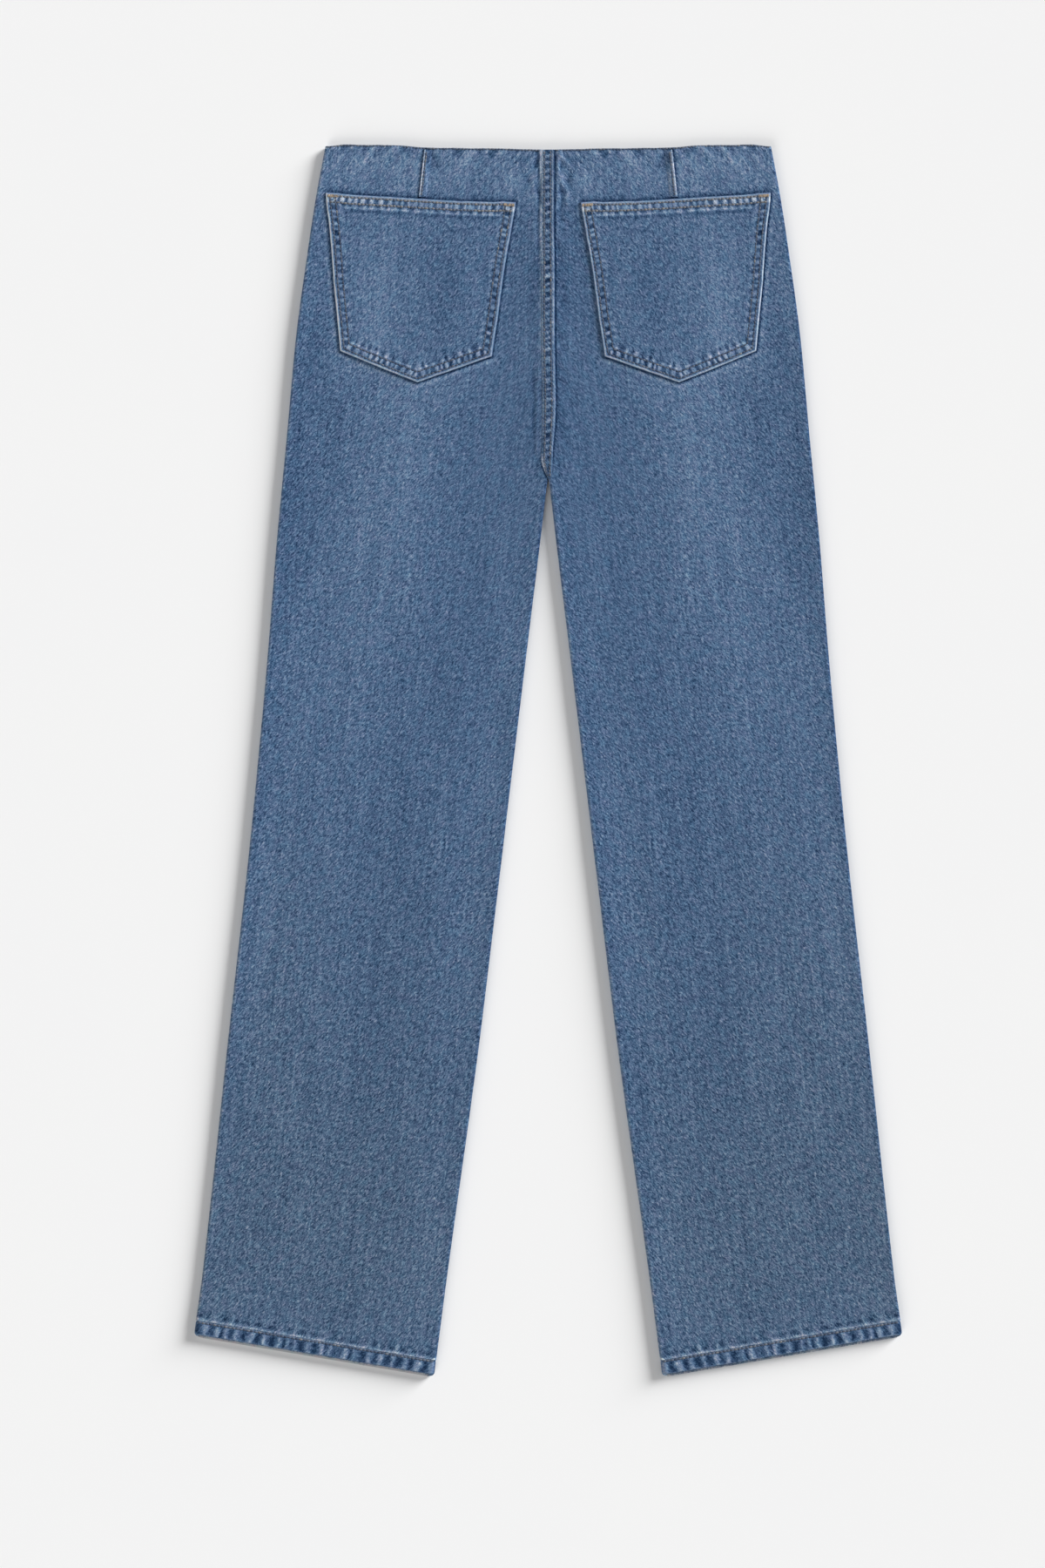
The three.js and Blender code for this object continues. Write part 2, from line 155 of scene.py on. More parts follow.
def noise_2d(x, y, pitch_x, pitch_y, seed):
    """Smooth random field from -1 to 1."""
    values = np.random.default_rng(seed).uniform(-1, 1, (256, 256))
    gx = np.asarray(x, float) / pitch_x + 100.0
    gy = np.asarray(y, float) / pitch_y + 100.0
    i, j = np.floor(gx).astype(int), np.floor(gy).astype(int)
    tx, ty = gx - i, gy - j
    tx, ty = tx * tx * (3 - 2 * tx), ty * ty * (3 - 2 * ty)
    i0, i1, j0, j1 = i % 256, (i + 1) % 256, j % 256, (j + 1) % 256
    low = lerp(values[i0, j0], values[i1, j0], tx)
    high = lerp(values[i0, j1], values[i1, j1], tx)
    return lerp(low, high, ty)


FINE_START, FINE_END = -40.0, 1200.0
FINE = np.arange(FINE_START, FINE_END, 0.2)


def puckers(s, pitch, seed, crest=0.24):
    """Pale crests (1) and dark hollows (-1) in turn along s, of uneven pitch, width and strength."""
    rng = np.random.default_rng(seed)
    total = np.zeros_like(FINE)
    at = FINE_START
    while at < FINE_END:
        gap = pitch * rng.uniform(0.66, 1.4)
        total += rng.uniform(0.45, 1.0) * bell(FINE - at, crest * gap * rng.uniform(0.75, 1.2))
        total -= rng.uniform(0.35, 1.0) * bell(FINE - at - gap * rng.uniform(0.42, 0.6), crest * gap * 1.25)
        at += gap
    return np.interp(s, FINE, total)


def blocks(s, pitch, seed, pale=0.36, ramp=0.7):
    """The same with flat tops and quick changes, as where two rows of stitching pull a fold into lumps."""
    rng = np.random.default_rng(seed)
    total = np.zeros_like(FINE)
    at = FINE_START
    while at < FINE_END:
        gap = pitch * rng.uniform(0.6, 1.45)
        change = at + gap * (pale * rng.uniform(0.7, 1.3))
        crest = plateau(FINE, at - ramp, at + ramp, change - ramp, change + ramp)
        hollow = plateau(FINE, change, change + 2 * ramp, at + gap - 2 * ramp, at + gap)
        total += rng.uniform(0.35, 1.0) * crest - rng.uniform(0.45, 1.0) * hollow
        at += gap
    return np.interp(s, FINE, total)


# The laid form, as in the part's source
def edge_at(table, y):
    ys, outs = table[:, 0], table[:, 1]
    y = np.asarray(y, float)
    k = np.clip(np.searchsorted(-ys, -y, side="left") - 1, 0, len(ys) - 2)
    before = np.maximum(k - 1, 0)
    after = np.minimum(k + 2, len(ys) - 1)
    span = ys[k + 1] - ys[k]
    s = (y - ys[k]) / span
    first = (outs[k + 1] - outs[before]) / (ys[k + 1] - ys[before]) * span
    last = (outs[after] - outs[k]) / (ys[after] - ys[k]) * span
    s2, s3 = s * s, s * s * s
    return ((2 * s3 - 3 * s2 + 1) * outs[k] + (s3 - 2 * s2 + s) * first
            + (3 * s2 - 2 * s3) * outs[k + 1] + (s3 - s2) * last)


def hem_top_at(out):
    first, last = INSIDE_EDGE[-1, 1], SIDE_EDGE[-1, 1]
    return HEM + HEM_DEPTH + HEM_TILT * (out - first) / (last - first)


class Rows:
    """Rows of cloth across one half: the ends of each on the outline, and how far the inside edge is turned."""

    def __init__(self, inner_y, dip=0.0):
        y = np.asarray(inner_y, float)
        seat = np.maximum(0, (y - TURN_START) / (WAIST - TURN_START))
        leg = np.maximum(0, (TURN_END - y) / (TURN_END - HEM))
        outer_y = y + WAIST_RISE * seat + dip * seat * seat + HEM_TILT * leg
        inner_x = np.where(y < CROTCH, edge_at(INSIDE_EDGE, np.minimum(y, CROTCH)), SEAM_GAP / 2)
        self.inner = np.stack([inner_x, y], -1)
        self.outer = np.stack([edge_at(SIDE_EDGE, outer_y), outer_y], -1)
        across = self.outer - self.inner
        self.width = np.linalg.norm(across, axis=-1)
        self.along = across / self.width[:, None]
        self.curl = np.clip((TURN_START - y) / (TURN_START - TURN_END), 0, 1)

    def from_inner(self, distance):
        return self.inner + self.along * np.asarray(distance, float)[:, None]

    def from_outer(self, distance):
        return self.outer - self.along * np.asarray(distance, float)[:, None]


def fold_height(out, y):
    total = np.zeros(np.broadcast(out, y).shape)
    for top_out, top_y, low_out, low_y, width, height in SOFT_FOLDS:
        t = np.clip((top_y - y) / (top_y - low_y), 0, 1)
        total += height * np.sin(np.pi * t) * bell(out - lerp(top_out, low_out, t), width)
    return total


def back_height(out, y, from_inside, from_side):
    margin = EDGE_HEIGHT / 2

    def rise(distance, fall):
        return 1 - np.exp(-np.maximum(0, distance) / fall)

    sunk = (rise(from_inside - margin, EDGE_FALL) * rise(from_side - margin, EDGE_FALL)
            * rise(WAIST - y, END_FALL) * rise(y - hem_top_at(out), END_FALL))
    return lerp(EDGE_HEIGHT, MID_HEIGHT, sunk) + sunk * fold_height(out, y)


def seat_height(out, y):
    return back_height(out, y, np.abs(out), edge_at(SIDE_EDGE, y) - np.abs(out))


def turned_edge(run, curl, height, cloth, lip):
    """Cloth past the flat part: distance of its middle from the outline, its height, and its face's turn."""
    radius = (height - cloth) / 2
    angle = np.pi * curl
    under = lip * np.maximum(0, 2 * curl - 1)
    level = np.pi * radius + lip - radius * angle - under
    start = np.where(curl < 0.5, np.sin(angle), 1.0) * (radius + cloth / 2)
    top = height - cloth / 2
    turn = np.clip((run - level) / radius, 0, angle)
    rest = np.maximum(0, run - level - radius * angle)
    flat = run <= level
    distance = np.where(flat, start + level - run, start - radius * np.sin(turn) - rest * np.cos(turn))
    z = np.where(flat, top, top - radius * (1 - np.cos(turn)) - rest * np.sin(turn))
    return distance, z, np.where(flat, 0.0, turn)


# Meshes
def wall(name, outer, inner, wrapped=False, material=None, crease=50.0, coarse=3, **layers):
    """Closed shell between two grids of points, with float or vector layers given over the grid. The hidden
    inner grid keeps only every coarse-th row and column, and its rim fans out to the outer grid's."""
    rows, columns = outer.shape[:2]
    row_of = np.unique(np.append(np.arange(0, rows, coarse), rows - 1))
    column_of = np.arange(0, columns, coarse)
    if not wrapped:
        column_of = np.unique(np.append(column_of, columns - 1))
    kept = inner[np.ix_(row_of, column_of)]
    start = rows * columns
    points = np.concatenate([outer.reshape(-1, 3), kept.reshape(-1, 3)]) * MM

    def grid_faces(number_rows, number_columns, first, flip):
        spans = number_columns if wrapped else number_columns - 1
        i, j = np.meshgrid(np.arange(number_rows - 1), np.arange(spans), indexing="ij")
        after = (j + 1) % number_columns
        a, b = i * number_columns + j, (i + 1) * number_columns + j
        c, d = (i + 1) * number_columns + after, i * number_columns + after
        tris = np.concatenate([np.stack([a, b, c], -1).reshape(-1, 3), np.stack([a, c, d], -1).reshape(-1, 3)])
        return (tris[:, ::-1] if flip else tris) + first

    def rim_faces(fine, places, far):
        """fine: the outer grid's edge in turn; places: which of its points the kept edge far stands under."""
        tris = []
        for k in range(len(far) - 1):
            a, b = places[k], places[k + 1]
            half = (a + b + 1) // 2
            tris += [(fine[i], far[k], fine[i + 1]) for i in range(a, half)]
            tris.append((fine[half], far[k], far[k + 1]))
            tris += [(fine[i], far[k + 1], fine[i + 1]) for i in range(half, b)]
        return np.array(tris)

    number = len(column_of)
    faces = [grid_faces(rows, columns, 0, False), grid_faces(len(row_of), number, start, True)]
    for row, kept_row, turned in ((0, 0, True), (rows - 1, len(row_of) - 1, False)):
        fine = row * columns + np.arange(columns)
        far = start + kept_row * number + np.arange(number)
        places = list(column_of)
        if wrapped:
            fine, far, places = np.append(fine, fine[0]), np.append(far, far[0]), places + [columns]
        rim = rim_faces(fine, places, far)
        faces.append(rim[:, ::-1] if turned else rim)
    if not wrapped:
        for column, kept_column, turned in ((0, 0, False), (columns - 1, number - 1, True)):
            fine = np.arange(rows) * columns + column
            far = start + np.arange(len(row_of)) * number + kept_column
            rim = rim_faces(fine, list(row_of), far)
            faces.append(rim[:, ::-1] if turned else rim)
    faces = np.concatenate(faces)
    p = points[faces]
    if (np.cross(p[:, 1] - p[:, 0], p[:, 2] - p[:, 0]) * (p[:, 0] - points.mean(0))).sum() < 0:
        faces = faces[:, ::-1]
    spread = {}
    for key, value in layers.items():
        flat = value[np.ix_(row_of, column_of)]
        spread[key] = np.concatenate([value.reshape((start,) + value.shape[2:]),
                                      flat.reshape((-1,) + value.shape[2:])])
    return mesh_object(name, points, faces, material, spread, crease)


def mesh_object(name, points, faces, material, layers=None, crease=None):
    mesh = bpy.data.meshes.new(name)
    size = faces.shape[1]
    mesh.vertices.add(len(points))
    mesh.vertices.foreach_set("co", points.astype(np.float32).ravel())
    mesh.loops.add(faces.size)
    mesh.loops.foreach_set("vertex_index", faces.astype(np.int32).ravel())
    mesh.polygons.add(len(faces))
    mesh.polygons.foreach_set("loop_start", np.arange(0, faces.size, size, dtype=np.int32))
    mesh.polygons.foreach_set("use_smooth", np.ones(len(faces), bool))
    mesh.update(calc_edges=True)
    for key, value in (layers or {}).items():
        kind, field = ("FLOAT", "value") if value.ndim == 1 else ("FLOAT_VECTOR", "vector")
        mesh.attributes.new(key, kind, "POINT").data.foreach_set(field, value.astype(np.float32).ravel())
    if crease is not None:
        mesh.set_sharp_from_angle(angle=math.radians(crease))
    mesh.materials.append(material)
    made = bpy.data.objects.new(f"{name}_made", mesh)
    bpy.context.scene.collection.objects.link(made)
    return made


def steps(*stops):
    """Places from one stop to the next: (start, spacing), (next, spacing) ... (end, None)."""
    places = []
    for (start, spacing), (end, _) in zip(stops, stops[1:]):
        number = max(1, round(abs(end - start) / spacing))
        places += list(np.linspace(start, end, number, endpoint=False))
    return np.array(places + [stops[-1][0]])


# Materials
class Nodes:
    """A material's nodes. An input is a number, a colour, a vector or a (node, output) pair."""

    def __init__(self, name):
        self.material = bpy.data.materials.new(name)
        self.material.use_nodes = True
        self.tree = self.material.node_tree
        self.tree.nodes.clear()
        self.shader = self.add("BsdfPrincipled")
        self.add("OutputMaterial", {"Surface": (self.shader, "BSDF")})

    def put(self, node, inputs):
        for socket, value in inputs.items():
            if isinstance(value, tuple) and isinstance(value[0], bpy.types.Node):
                self.tree.links.new(value[0].outputs[value[1]], node.inputs[socket])
            else:
                node.inputs[socket].default_value = value

    def add(self, kind, inputs=None, **settings):
        node = self.tree.nodes.new("ShaderNode" + kind)
        for key, value in settings.items():
            setattr(node, key, value)
        self.put(node, inputs or {})
        return node

    def math(self, operation, *values):
        return self.add("Math", dict(enumerate(values)), operation=operation), 0

    def attribute(self, name, output="Fac"):
        return self.add("Attribute", attribute_name=name), output

    def on_object(self):
        return self.add("TexCoord"), "Object"

    def mapping(self, vector, scale, turn=0.0, shift=(0, 0, 0)):
        values = {"Vector": vector, "Rotation": (0, 0, turn), "Location": shift}
        turned = self.add("Mapping", values, vector_type="POINT")
        return self.add("VectorMath", {0: (turned, "Vector"), 1: scale}, operation="MULTIPLY"), "Vector"

    def noise(self, vector, detail=2.0, roughness=0.5):
        values = {"Vector": vector, "Scale": 1.0, "Detail": detail, "Roughness": roughness}
        return self.add("TexNoise", values, noise_dimensions="3D"), "Fac"

    def cells(self, vector):
        """A random value for each cell of an uneven net."""
        values = {"Vector": vector, "Scale": 1.0}
        node = self.add("TexVoronoi", values, voronoi_dimensions="2D", feature="F1")
        return self.add("SeparateColor", {"Color": (node, "Color")}), 0

    def centred(self, value, gain):
        """A noise of mean 0.5 as a signed amount."""
        return self.math("MULTIPLY", self.math("SUBTRACT", value, 0.5), gain)

    def tinted(self, factor, colour, tint):
        values = {"Factor": factor, "A": colour, "B": tint}
        return self.add("Mix", values, data_type="RGBA", blend_type="MULTIPLY"), "Result"

    def ramp(self, value, stops):
        node = self.add("ValToRGB", {"Fac": value})
        elements = node.color_ramp.elements
        while len(elements) < len(stops):
            elements.new(0.5)
        for element, (place, colour) in zip(elements, stops):
            element.position = place
            element.color = (*colour, 1.0)
        return node, "Color"

    def finish(self, colour, relief, strength, depth, surface):
        """Colour, fine relief of a depth in mm, and the shader's other values."""
        values = {"Height": relief, "Strength": strength, "Distance": depth * MM}
        bump = self.add("Bump", values), "Normal"
        self.put(self.shader, {"Base Color": colour, "Normal": bump, **surface})
        return self.material


def linear(*srgb):
    return tuple(((c / 255 + 0.055) / 1.055) ** 2.4 if c > 10 else c / 255 / 12.92 for c in srgb)


# Washed indigo from its darkest to its palest, by lightness
INDIGO = [
    (35, (9, 36, 67)), (65, (41, 66, 98)), (95, (69, 95, 128)), (125, (99, 124, 156)),
    (155, (135, 153, 177)), (185, (171, 184, 201)), (215, (208, 214, 222)),
]
LIGHT_LOW, LIGHT_HIGH = INDIGO[0][0], INDIGO[-1][0]
TWILL_TURN = math.radians(52 - 90)
WEAVE = [  # width and length of the marks in mm, turn, detail (None for a net of cells), roughness, gain
    (1.3, 3.1, TWILL_TURN, 1.0, 0.6, 135.0),
    (0.95, 0.95, 0.0, 0.0, 0.5, 80.0),
    (1.0, 2.3, TWILL_TURN, None, None, 40.0),
    (1.5, 6.0, TWILL_TURN, 1.0, 0.5, 32.0),
]
SLUB = (2.2, 110.0, 0.0, 2.0, 0.5)
CLOUDS = [(8.0, 10.0, 0.3, 2.0, 0.5, 8.0), (34.0, 60.0, 0.0, 2.0, 0.5, 8.0)]


def denim(name, base, fleck=1.0, slubs=46.0, seed=0.0):
    """Denim whose lightness is base + the layer `tone`, on the cloth's own coordinates in the layer `cloth`."""
    n = Nodes(name)
    cloth = n.attribute("cloth", "Vector")
    shift = (seed * 37.0, seed * 91.0, 0)

    def pattern(wide, long, turn, detail, roughness, gain):
        place = n.mapping(cloth, (1 / wide, 1 / long, 1), turn, shift)
        return n.centred(n.cells(place) if detail is None else n.noise(place, detail, roughness), gain)

    marks = [pattern(*row[:-1], row[-1] * fleck) for row in WEAVE + [(*SLUB, slubs)]]
    flecks = marks[0]
    for mark in marks[1:]:
        flecks = n.math("ADD", flecks, mark)
    light = n.math("MULTIPLY_ADD", n.attribute("tone"), 100.0, base)
    light = n.math("ADD", light, n.math("MULTIPLY", flecks, n.attribute("crisp")))
    for row in CLOUDS:
        light = n.math("ADD", light, pattern(*row))
    span = LIGHT_HIGH - LIGHT_LOW
    place = n.math("DIVIDE", n.math("SUBTRACT", light, LIGHT_LOW), span)
    colour = n.ramp(place, [((at - LIGHT_LOW) / span, linear(*rgb)) for at, rgb in INDIGO])
    hue = n.noise(n.mapping(cloth, (1 / 6.0, 1 / 9.0, 1), -0.4, (11, 5, 3)), 2.0)
    hues = n.ramp(hue, [(0.30, (0.90, 1.03, 1.03)), (0.5, (1, 1, 1)), (0.70, (1.09, 0.975, 1.0))])
    colour = n.tinted(n.attribute("grey"), n.tinted(1.0, colour, hues), (1.10, 1.0, 0.90, 1))
    return n.finish(colour, n.math("MULTIPLY", flecks, 0.01), 0.30, 0.35, {
        "Roughness": 0.92, "Specular IOR Level": 0.12, "Sheen Weight": 0.04, "Sheen Roughness": 0.5})


def thread(name, dark, mid, pale):
    """Spun thread: its shade changes from stitch to stitch with the layer `shade` (0 to 1)."""
    n = Nodes(name)
    twist = n.noise(n.mapping(n.on_object(), (2600, 2600, 2600)), 2.0)
    shade = n.math("ADD", n.attribute("shade"), n.centred(twist, 0.5))
    colour = n.ramp(shade, [(0.1, linear(*dark)), (0.5, linear(*mid)), (0.95, linear(*pale))])
    return n.finish(colour, twist, 0.5, 0.1, {
        "Roughness": 0.75, "Specular IOR Level": 0.25, "Sheen Weight": 0.1})


def nickel(name):
    n = Nodes(name)
    worn = n.noise(n.mapping(n.on_object(), (900, 900, 900)), 5.0, 0.6)
    colour = n.ramp(worn, [(0.35, linear(132, 122, 106)), (0.6, linear(176, 170, 158))])
    rough = n.ramp(worn, [(0.3, (0.5, 0.5, 0.5)), (0.7, (0.3, 0.3, 0.3))])
    return n.finish(colour, worn, 0.15, 0.1, {"Roughness": rough, "Metallic": 1.0})


DENIM = denim("denim", 97.0)
FRONT_DENIM = denim("front_denim", 96.0, seed=1.0)
POCKET_DENIM = denim("pocket_denim", 103.0, 0.9, 36.0, seed=2.0)
SEAM_DENIM = denim("seam_denim", 97.0, 1.0, 8.0, seed=3.0)
THREAD = thread("topstitch", (46, 58, 82), (82, 93, 111), (124, 122, 120))
TACK_THREAD = thread("bartack", (80, 68, 54), (146, 129, 108), (176, 160, 142))
NICKEL = nickel("button_metal")


# Fades, rubbed places and puckers, with painted light and shade set against the key light
FADES = [  # out, y, half width, half length, lean of the patch (out per unit of y), lightness
    (132, 240, 50, 130, -0.1, 10.5), (176, 60, 50, 170, -0.12, 5), (70, 180, 42, 90, -0.1, -2),
    (214, 250, 16, 200, -0.1, -7), (140, -220, 34, 260, -0.13, -4.5), (60, -60, 16, 240, -0.13, 4),
    (262, -400, 36, 90, -0.1, -1), (172, 278, 15, 70, -0.08, -5), (10, 290, 9, 34, 0, -6),
    (100, 494, 130, 24, 0, 18), (30, 520, 40, 22, 0, -9), (196, 420, 14, 50, -0.1, 5),
    (218, 80, 14, 90, -0.1, 5), (238, -115, 10, 80, -0.1, 5), (282, -452, 16, 22, -0.1, 4),
    (120, -430, 26, 60, 0, 3), (84, -280, 24, 80, -0.13, -2.5), (17, 400, 12, 70, 0, -3),
    (64, 510, 14, 7, 0, 10), (203, 380, 12, 46, -0.1, 7), (166, 334, 26, 10, 0, 8),
    (108, 330, 14, 8, 0, -6), (160, 508, 28, 9, 0, 8), (55, 490, 10, 18, 0, -8), (34, 494, 8, 10, 0, 6),
    (140, 496, 16, 8, 0, -6), (100, 482, 14, 8, 0, -6), (110, 310, 60, 20, 0, 4), (9, 303, 6, 22, 0, -4),
]
POCKET_FADES = [
    (146, 404, 16, 50, 0, 11), (88, 390, 22, 60, 0, -6), (148, 350, 26, 28, 0, 7),
]
CRISP = [
    (26, 300, 52, 130, -0.04, -0.24), (60, 120, 46, 150, -0.12, -0.1),
]
# Painted shadow outside each dart's fold, deeper on the right half where the key light casts none; and the
# lightness of the worn ridge, with painted light added on the left half where the ridge faces away from the key
# light
DART_PAINTED_SHADOW = {LEFT: 26.0, RIGHT: 60.0}
DART_RIDGE_WEAR_AND_LIGHT = {LEFT: 116.0, RIGHT: 102.0}
CREASES = {  # top out, top y, low out, low y, width, lightness
    0: [
        (99.5, 519, 96.5, 499, 4.5, -36), (103.4, 503, 103, 480, 1.3, 17),
        (92.5, 514, 87.5, 505, 1.6, 20), (106.8, 518, 114.5, 503, 1.5, 40),
        (112, 519, 114, 512, 2.4, -22), (59, 516, 62.5, 508, 1.2, 30), (110.5, 506, 112.5, 484, 1.8, 14),
        (40, 516, 44, 506, 3.5, -18), (150, 519, 146, 509, 3, -22), (168, 519, 171, 511, 4, -20),
        (130, 520, 138, 506, 1.3, 18),
    ],
    LEFT: [
        (8.9, 521, 8.8, 502, 1.6, -50), (11.2, 510, 11, 501, 2, -30), (7.4, 502, 8.2, 466, 1.3, -40),
        (8.4, 472, 8.4, 404, 1.3, -20), (6.3, 523, 6.2, 493, 1.2, 56), (6, 474, 6, 424, 1.1, 44),
        (10, 502, 10, 494, 1.4, 26), (13, 497, 11.8, 475, 1.7, 18), (9.2, 490, 9.2, 477, 1.4, -18),
        (17, 496, 17.5, 487, 2, -16), (12.2, 460, 12, 438, 1.6, 12), (8, 336, 8.4, 319, 1.6, 24),
        (6.6, 317, 6.8, 303, 1.1, -18), (9.8, 318, 9.9, 272, 1.2, 15), (13.1, 334, 12.5, 270, 1.5, -20),
        (8.9, 272, 9.2, 256, 1.2, 13), (11.5, 270, 11, 256, 1.3, -14),
    ],
    RIGHT: [
        (10.2, 520, 10.4, 508, 1.8, 42), (14.8, 518, 14.6, 507, 1.3, -12), (11.2, 509, 12, 501, 1.8, -30),
        (8, 511, 8.2, 494, 1.3, 44), (10.8, 498, 11, 486, 1.7, 32), (17.5, 502, 17, 485, 1.7, -22),
        (10, 488, 10.2, 479, 1.6, -26), (12.6, 483, 12.4, 469, 1.6, -36), (16.8, 482, 17, 470, 1.7, 20),
        (8.2, 487, 8.8, 473, 1.3, 18), (10.5, 472, 10.5, 456, 1.7, -22), (7.2, 476, 7.2, 438, 1.1, 10),
        (8.5, 442, 8.8, 422, 1.4, -14), (5.6, 520, 5.6, 470, 0.9, -20),
    ],
}
GREY = [
    (180, -420, 140, 160, 0, 1), (150, -200, 140, 160, 0, 0.35), (288, -440, 30, 110, -0.1, 0.5),
    (236, -230, 40, 140, -0.12, 0.3),
]


def patches(table, out, y):
    total = np.zeros(np.broadcast(out, y).shape)
    for at_out, at_y, wide, long, lean, amount in table:
        across = (out - at_out - lean * (y - at_y)) / wide
        total += amount * np.exp(-across ** 2 - ((y - at_y) / long) ** 2)
    return total


def pocket_lines():
    """The pocket's five edges, in turn: start, unit direction, inward normal and length."""
    corners = [np.array(POCKET_CORNERS[k], float) for k in
               ("outer_top", "inner_top", "inner_low", "tip", "outer_low")]
    middle = np.mean(corners, 0)
    lines = []
    for a, b in zip(corners, corners[1:] + corners[:1]):
        length = np.linalg.norm(b - a)
        along = (b - a) / length
        inward = np.array([-along[1], along[0]])
        if inward @ (middle - a) < 0:
            inward = -inward
        lines.append((a, along, inward, length))
    return lines


POCKET_LINES = pocket_lines()  # top, inner side, inner low, outer low, outer side
POCKET_ROW_1 = (2.5, 3.3, 3.0, 3.0, 3.4)
POCKET_ROW_2 = (7.8, 8.3, 8.4, 8.3, 8.1)
POCKET_EDGE_AT = (1.1, 1.1, 0.7, 0.6, 0.5)
# Worn pale ridge along each edge; the amounts per edge and half also hold painted light, set against the key
# light's shading
POCKET_EDGE_WEAR_AND_LIGHT = {LEFT: (68.0, 64.0, 96.0, 112.0, 186.0), RIGHT: (68.0, 92.0, 122.0, 92.0, 106.0)}
POCKET_BAND_TONE = (13.0, -4.0, 3.0, 0.0, -6.0)
POCKET_PALE_AT = (11.1, 11.3, 10.0, 10.1, 10.9)
POCKET_PALE_WIDTH = (1.1, 1.4, 0.9, 0.9, 1.3)
POCKET_PALE_TONE = (52.0, 15.0, 40.0, 38.0, 15.0)
POCKET_DARK_TONE = (-22.0, -6.0, -9.0, -9.0, -4.0)
POCKET_RIM_TONE = (-12.0, 2.0, 24.0, 20.0, 14.0)
# Painted shadow on the cloth just outside each edge, deepest where the key light casts no shadow of its own
POCKET_PAINTED_SHADOW = {LEFT: (40.0, 42.0, 48.0, 22.0, 9.0), RIGHT: (40.0, -8.0, 24.0, 52.0, 66.0)}


def pocket_bow(line, place):
    places, bows = np.array(POCKET_BOWS[line], float).T
    return np.interp(place, places, bows)


def pocket_distances(out, y):
    """Depth inside each of the pocket's edges, and the place along each."""
    p = np.stack(np.broadcast_arrays(out, y), -1).astype(float)
    place = np.stack([(p - a) @ along for a, along, _, _ in POCKET_LINES])
    depth = np.stack([(p - a) @ inward - pocket_bow(k, place[k])
                      for k, (a, _, inward, _) in enumerate(POCKET_LINES)])
    return depth, place


def level_tone(side, out, y):
    """Lightness that the key light would add to the broad slopes of the laid form; taking it off the tone paints
    shade and light against it, so the slopes look even.
    """
    step = 1.0

    def height(at_out, at_y):
        inside = np.where(at_y < CROTCH, edge_at(INSIDE_EDGE, np.minimum(at_y, CROTCH)), SEAM_GAP / 2)
        from_inside = at_out - inside
        return back_height(at_out, at_y, from_inside, edge_at(SIDE_EDGE, at_y) - at_out)

    slope_out = (height(out + step, y) - height(out - step, y)) / (2 * step)
    slope_y = (height(out, y + step) - height(out, y - step)) / (2 * step)
    azimuth = math.radians(KEY_AZIMUTH)
    facing = -(side * slope_out * math.sin(azimuth) + slope_y * math.cos(azimuth))
    return KEY_GAIN * KEY_SHARE * facing / math.tan(math.radians(KEY_ELEVATION))


def waist_look(out, y):
    """Dark lumps below the edge stitch, with pale wisps that lean with the twill between them."""
    seed = 10
    down = WAIST + WAIST_RISE * out / 188.0 - y
    lumps = puckers(out - 0.5 * down, 15.0, seed + 40, 0.27)
    wisps = puckers(out - 0.8 * down, 9.0, seed + 43, 0.17)
    long_wisps = puckers(out - 0.9 * down, 21.0, seed + 41, 0.10)
    reach = 7.0 + 6.0 * noise_1d(out, 19, seed + 42)
    near = smooth(0.3, 1.6, down) * (1 - smooth(0.5 * reach, reach, down))
    far = smooth(0.5, 3.0, down) * (1 - smooth(10.0, 34.0, down))
    height = near * 0.3 * lumps + far * 0.1 * (long_wisps + 0.6 * wisps)
    tone = near * (8.0 + 54.0 * np.minimum(lumps, 0.1) + 30.0 * np.maximum(wisps, 0))
    tone += far * (26.0 * np.maximum(long_wisps, 0) + 9.0 * wisps)
    tone = tone - 14.0 * (1 - smooth(0.2, 1.3, down))
    return height - 0.5 * (1 - smooth(0.0, 1.2, down)) ** 2, tone


def crease_look(side, out, y):
    """The main creases, placed one by one."""
    seed = 60
    height, tone = 0.0, 0.0
    for top_out, top_y, low_out, low_y, width, amount in CREASES[0] + CREASES[side]:
        t = (top_y - y) / (top_y - low_y)
        middle = lerp(top_out, low_out, t) + 0.6 * noise_1d(y, 14, seed + 2)
        crease = bell(out - middle, width) * smooth(-0.15, 0.2, t) * smooth(1.15, 0.75, t)
        tone += amount * crease * (0.8 + 0.2 * noise_1d(y, 8, seed + 3))
        height += 0.012 * amount * crease
    return height, tone


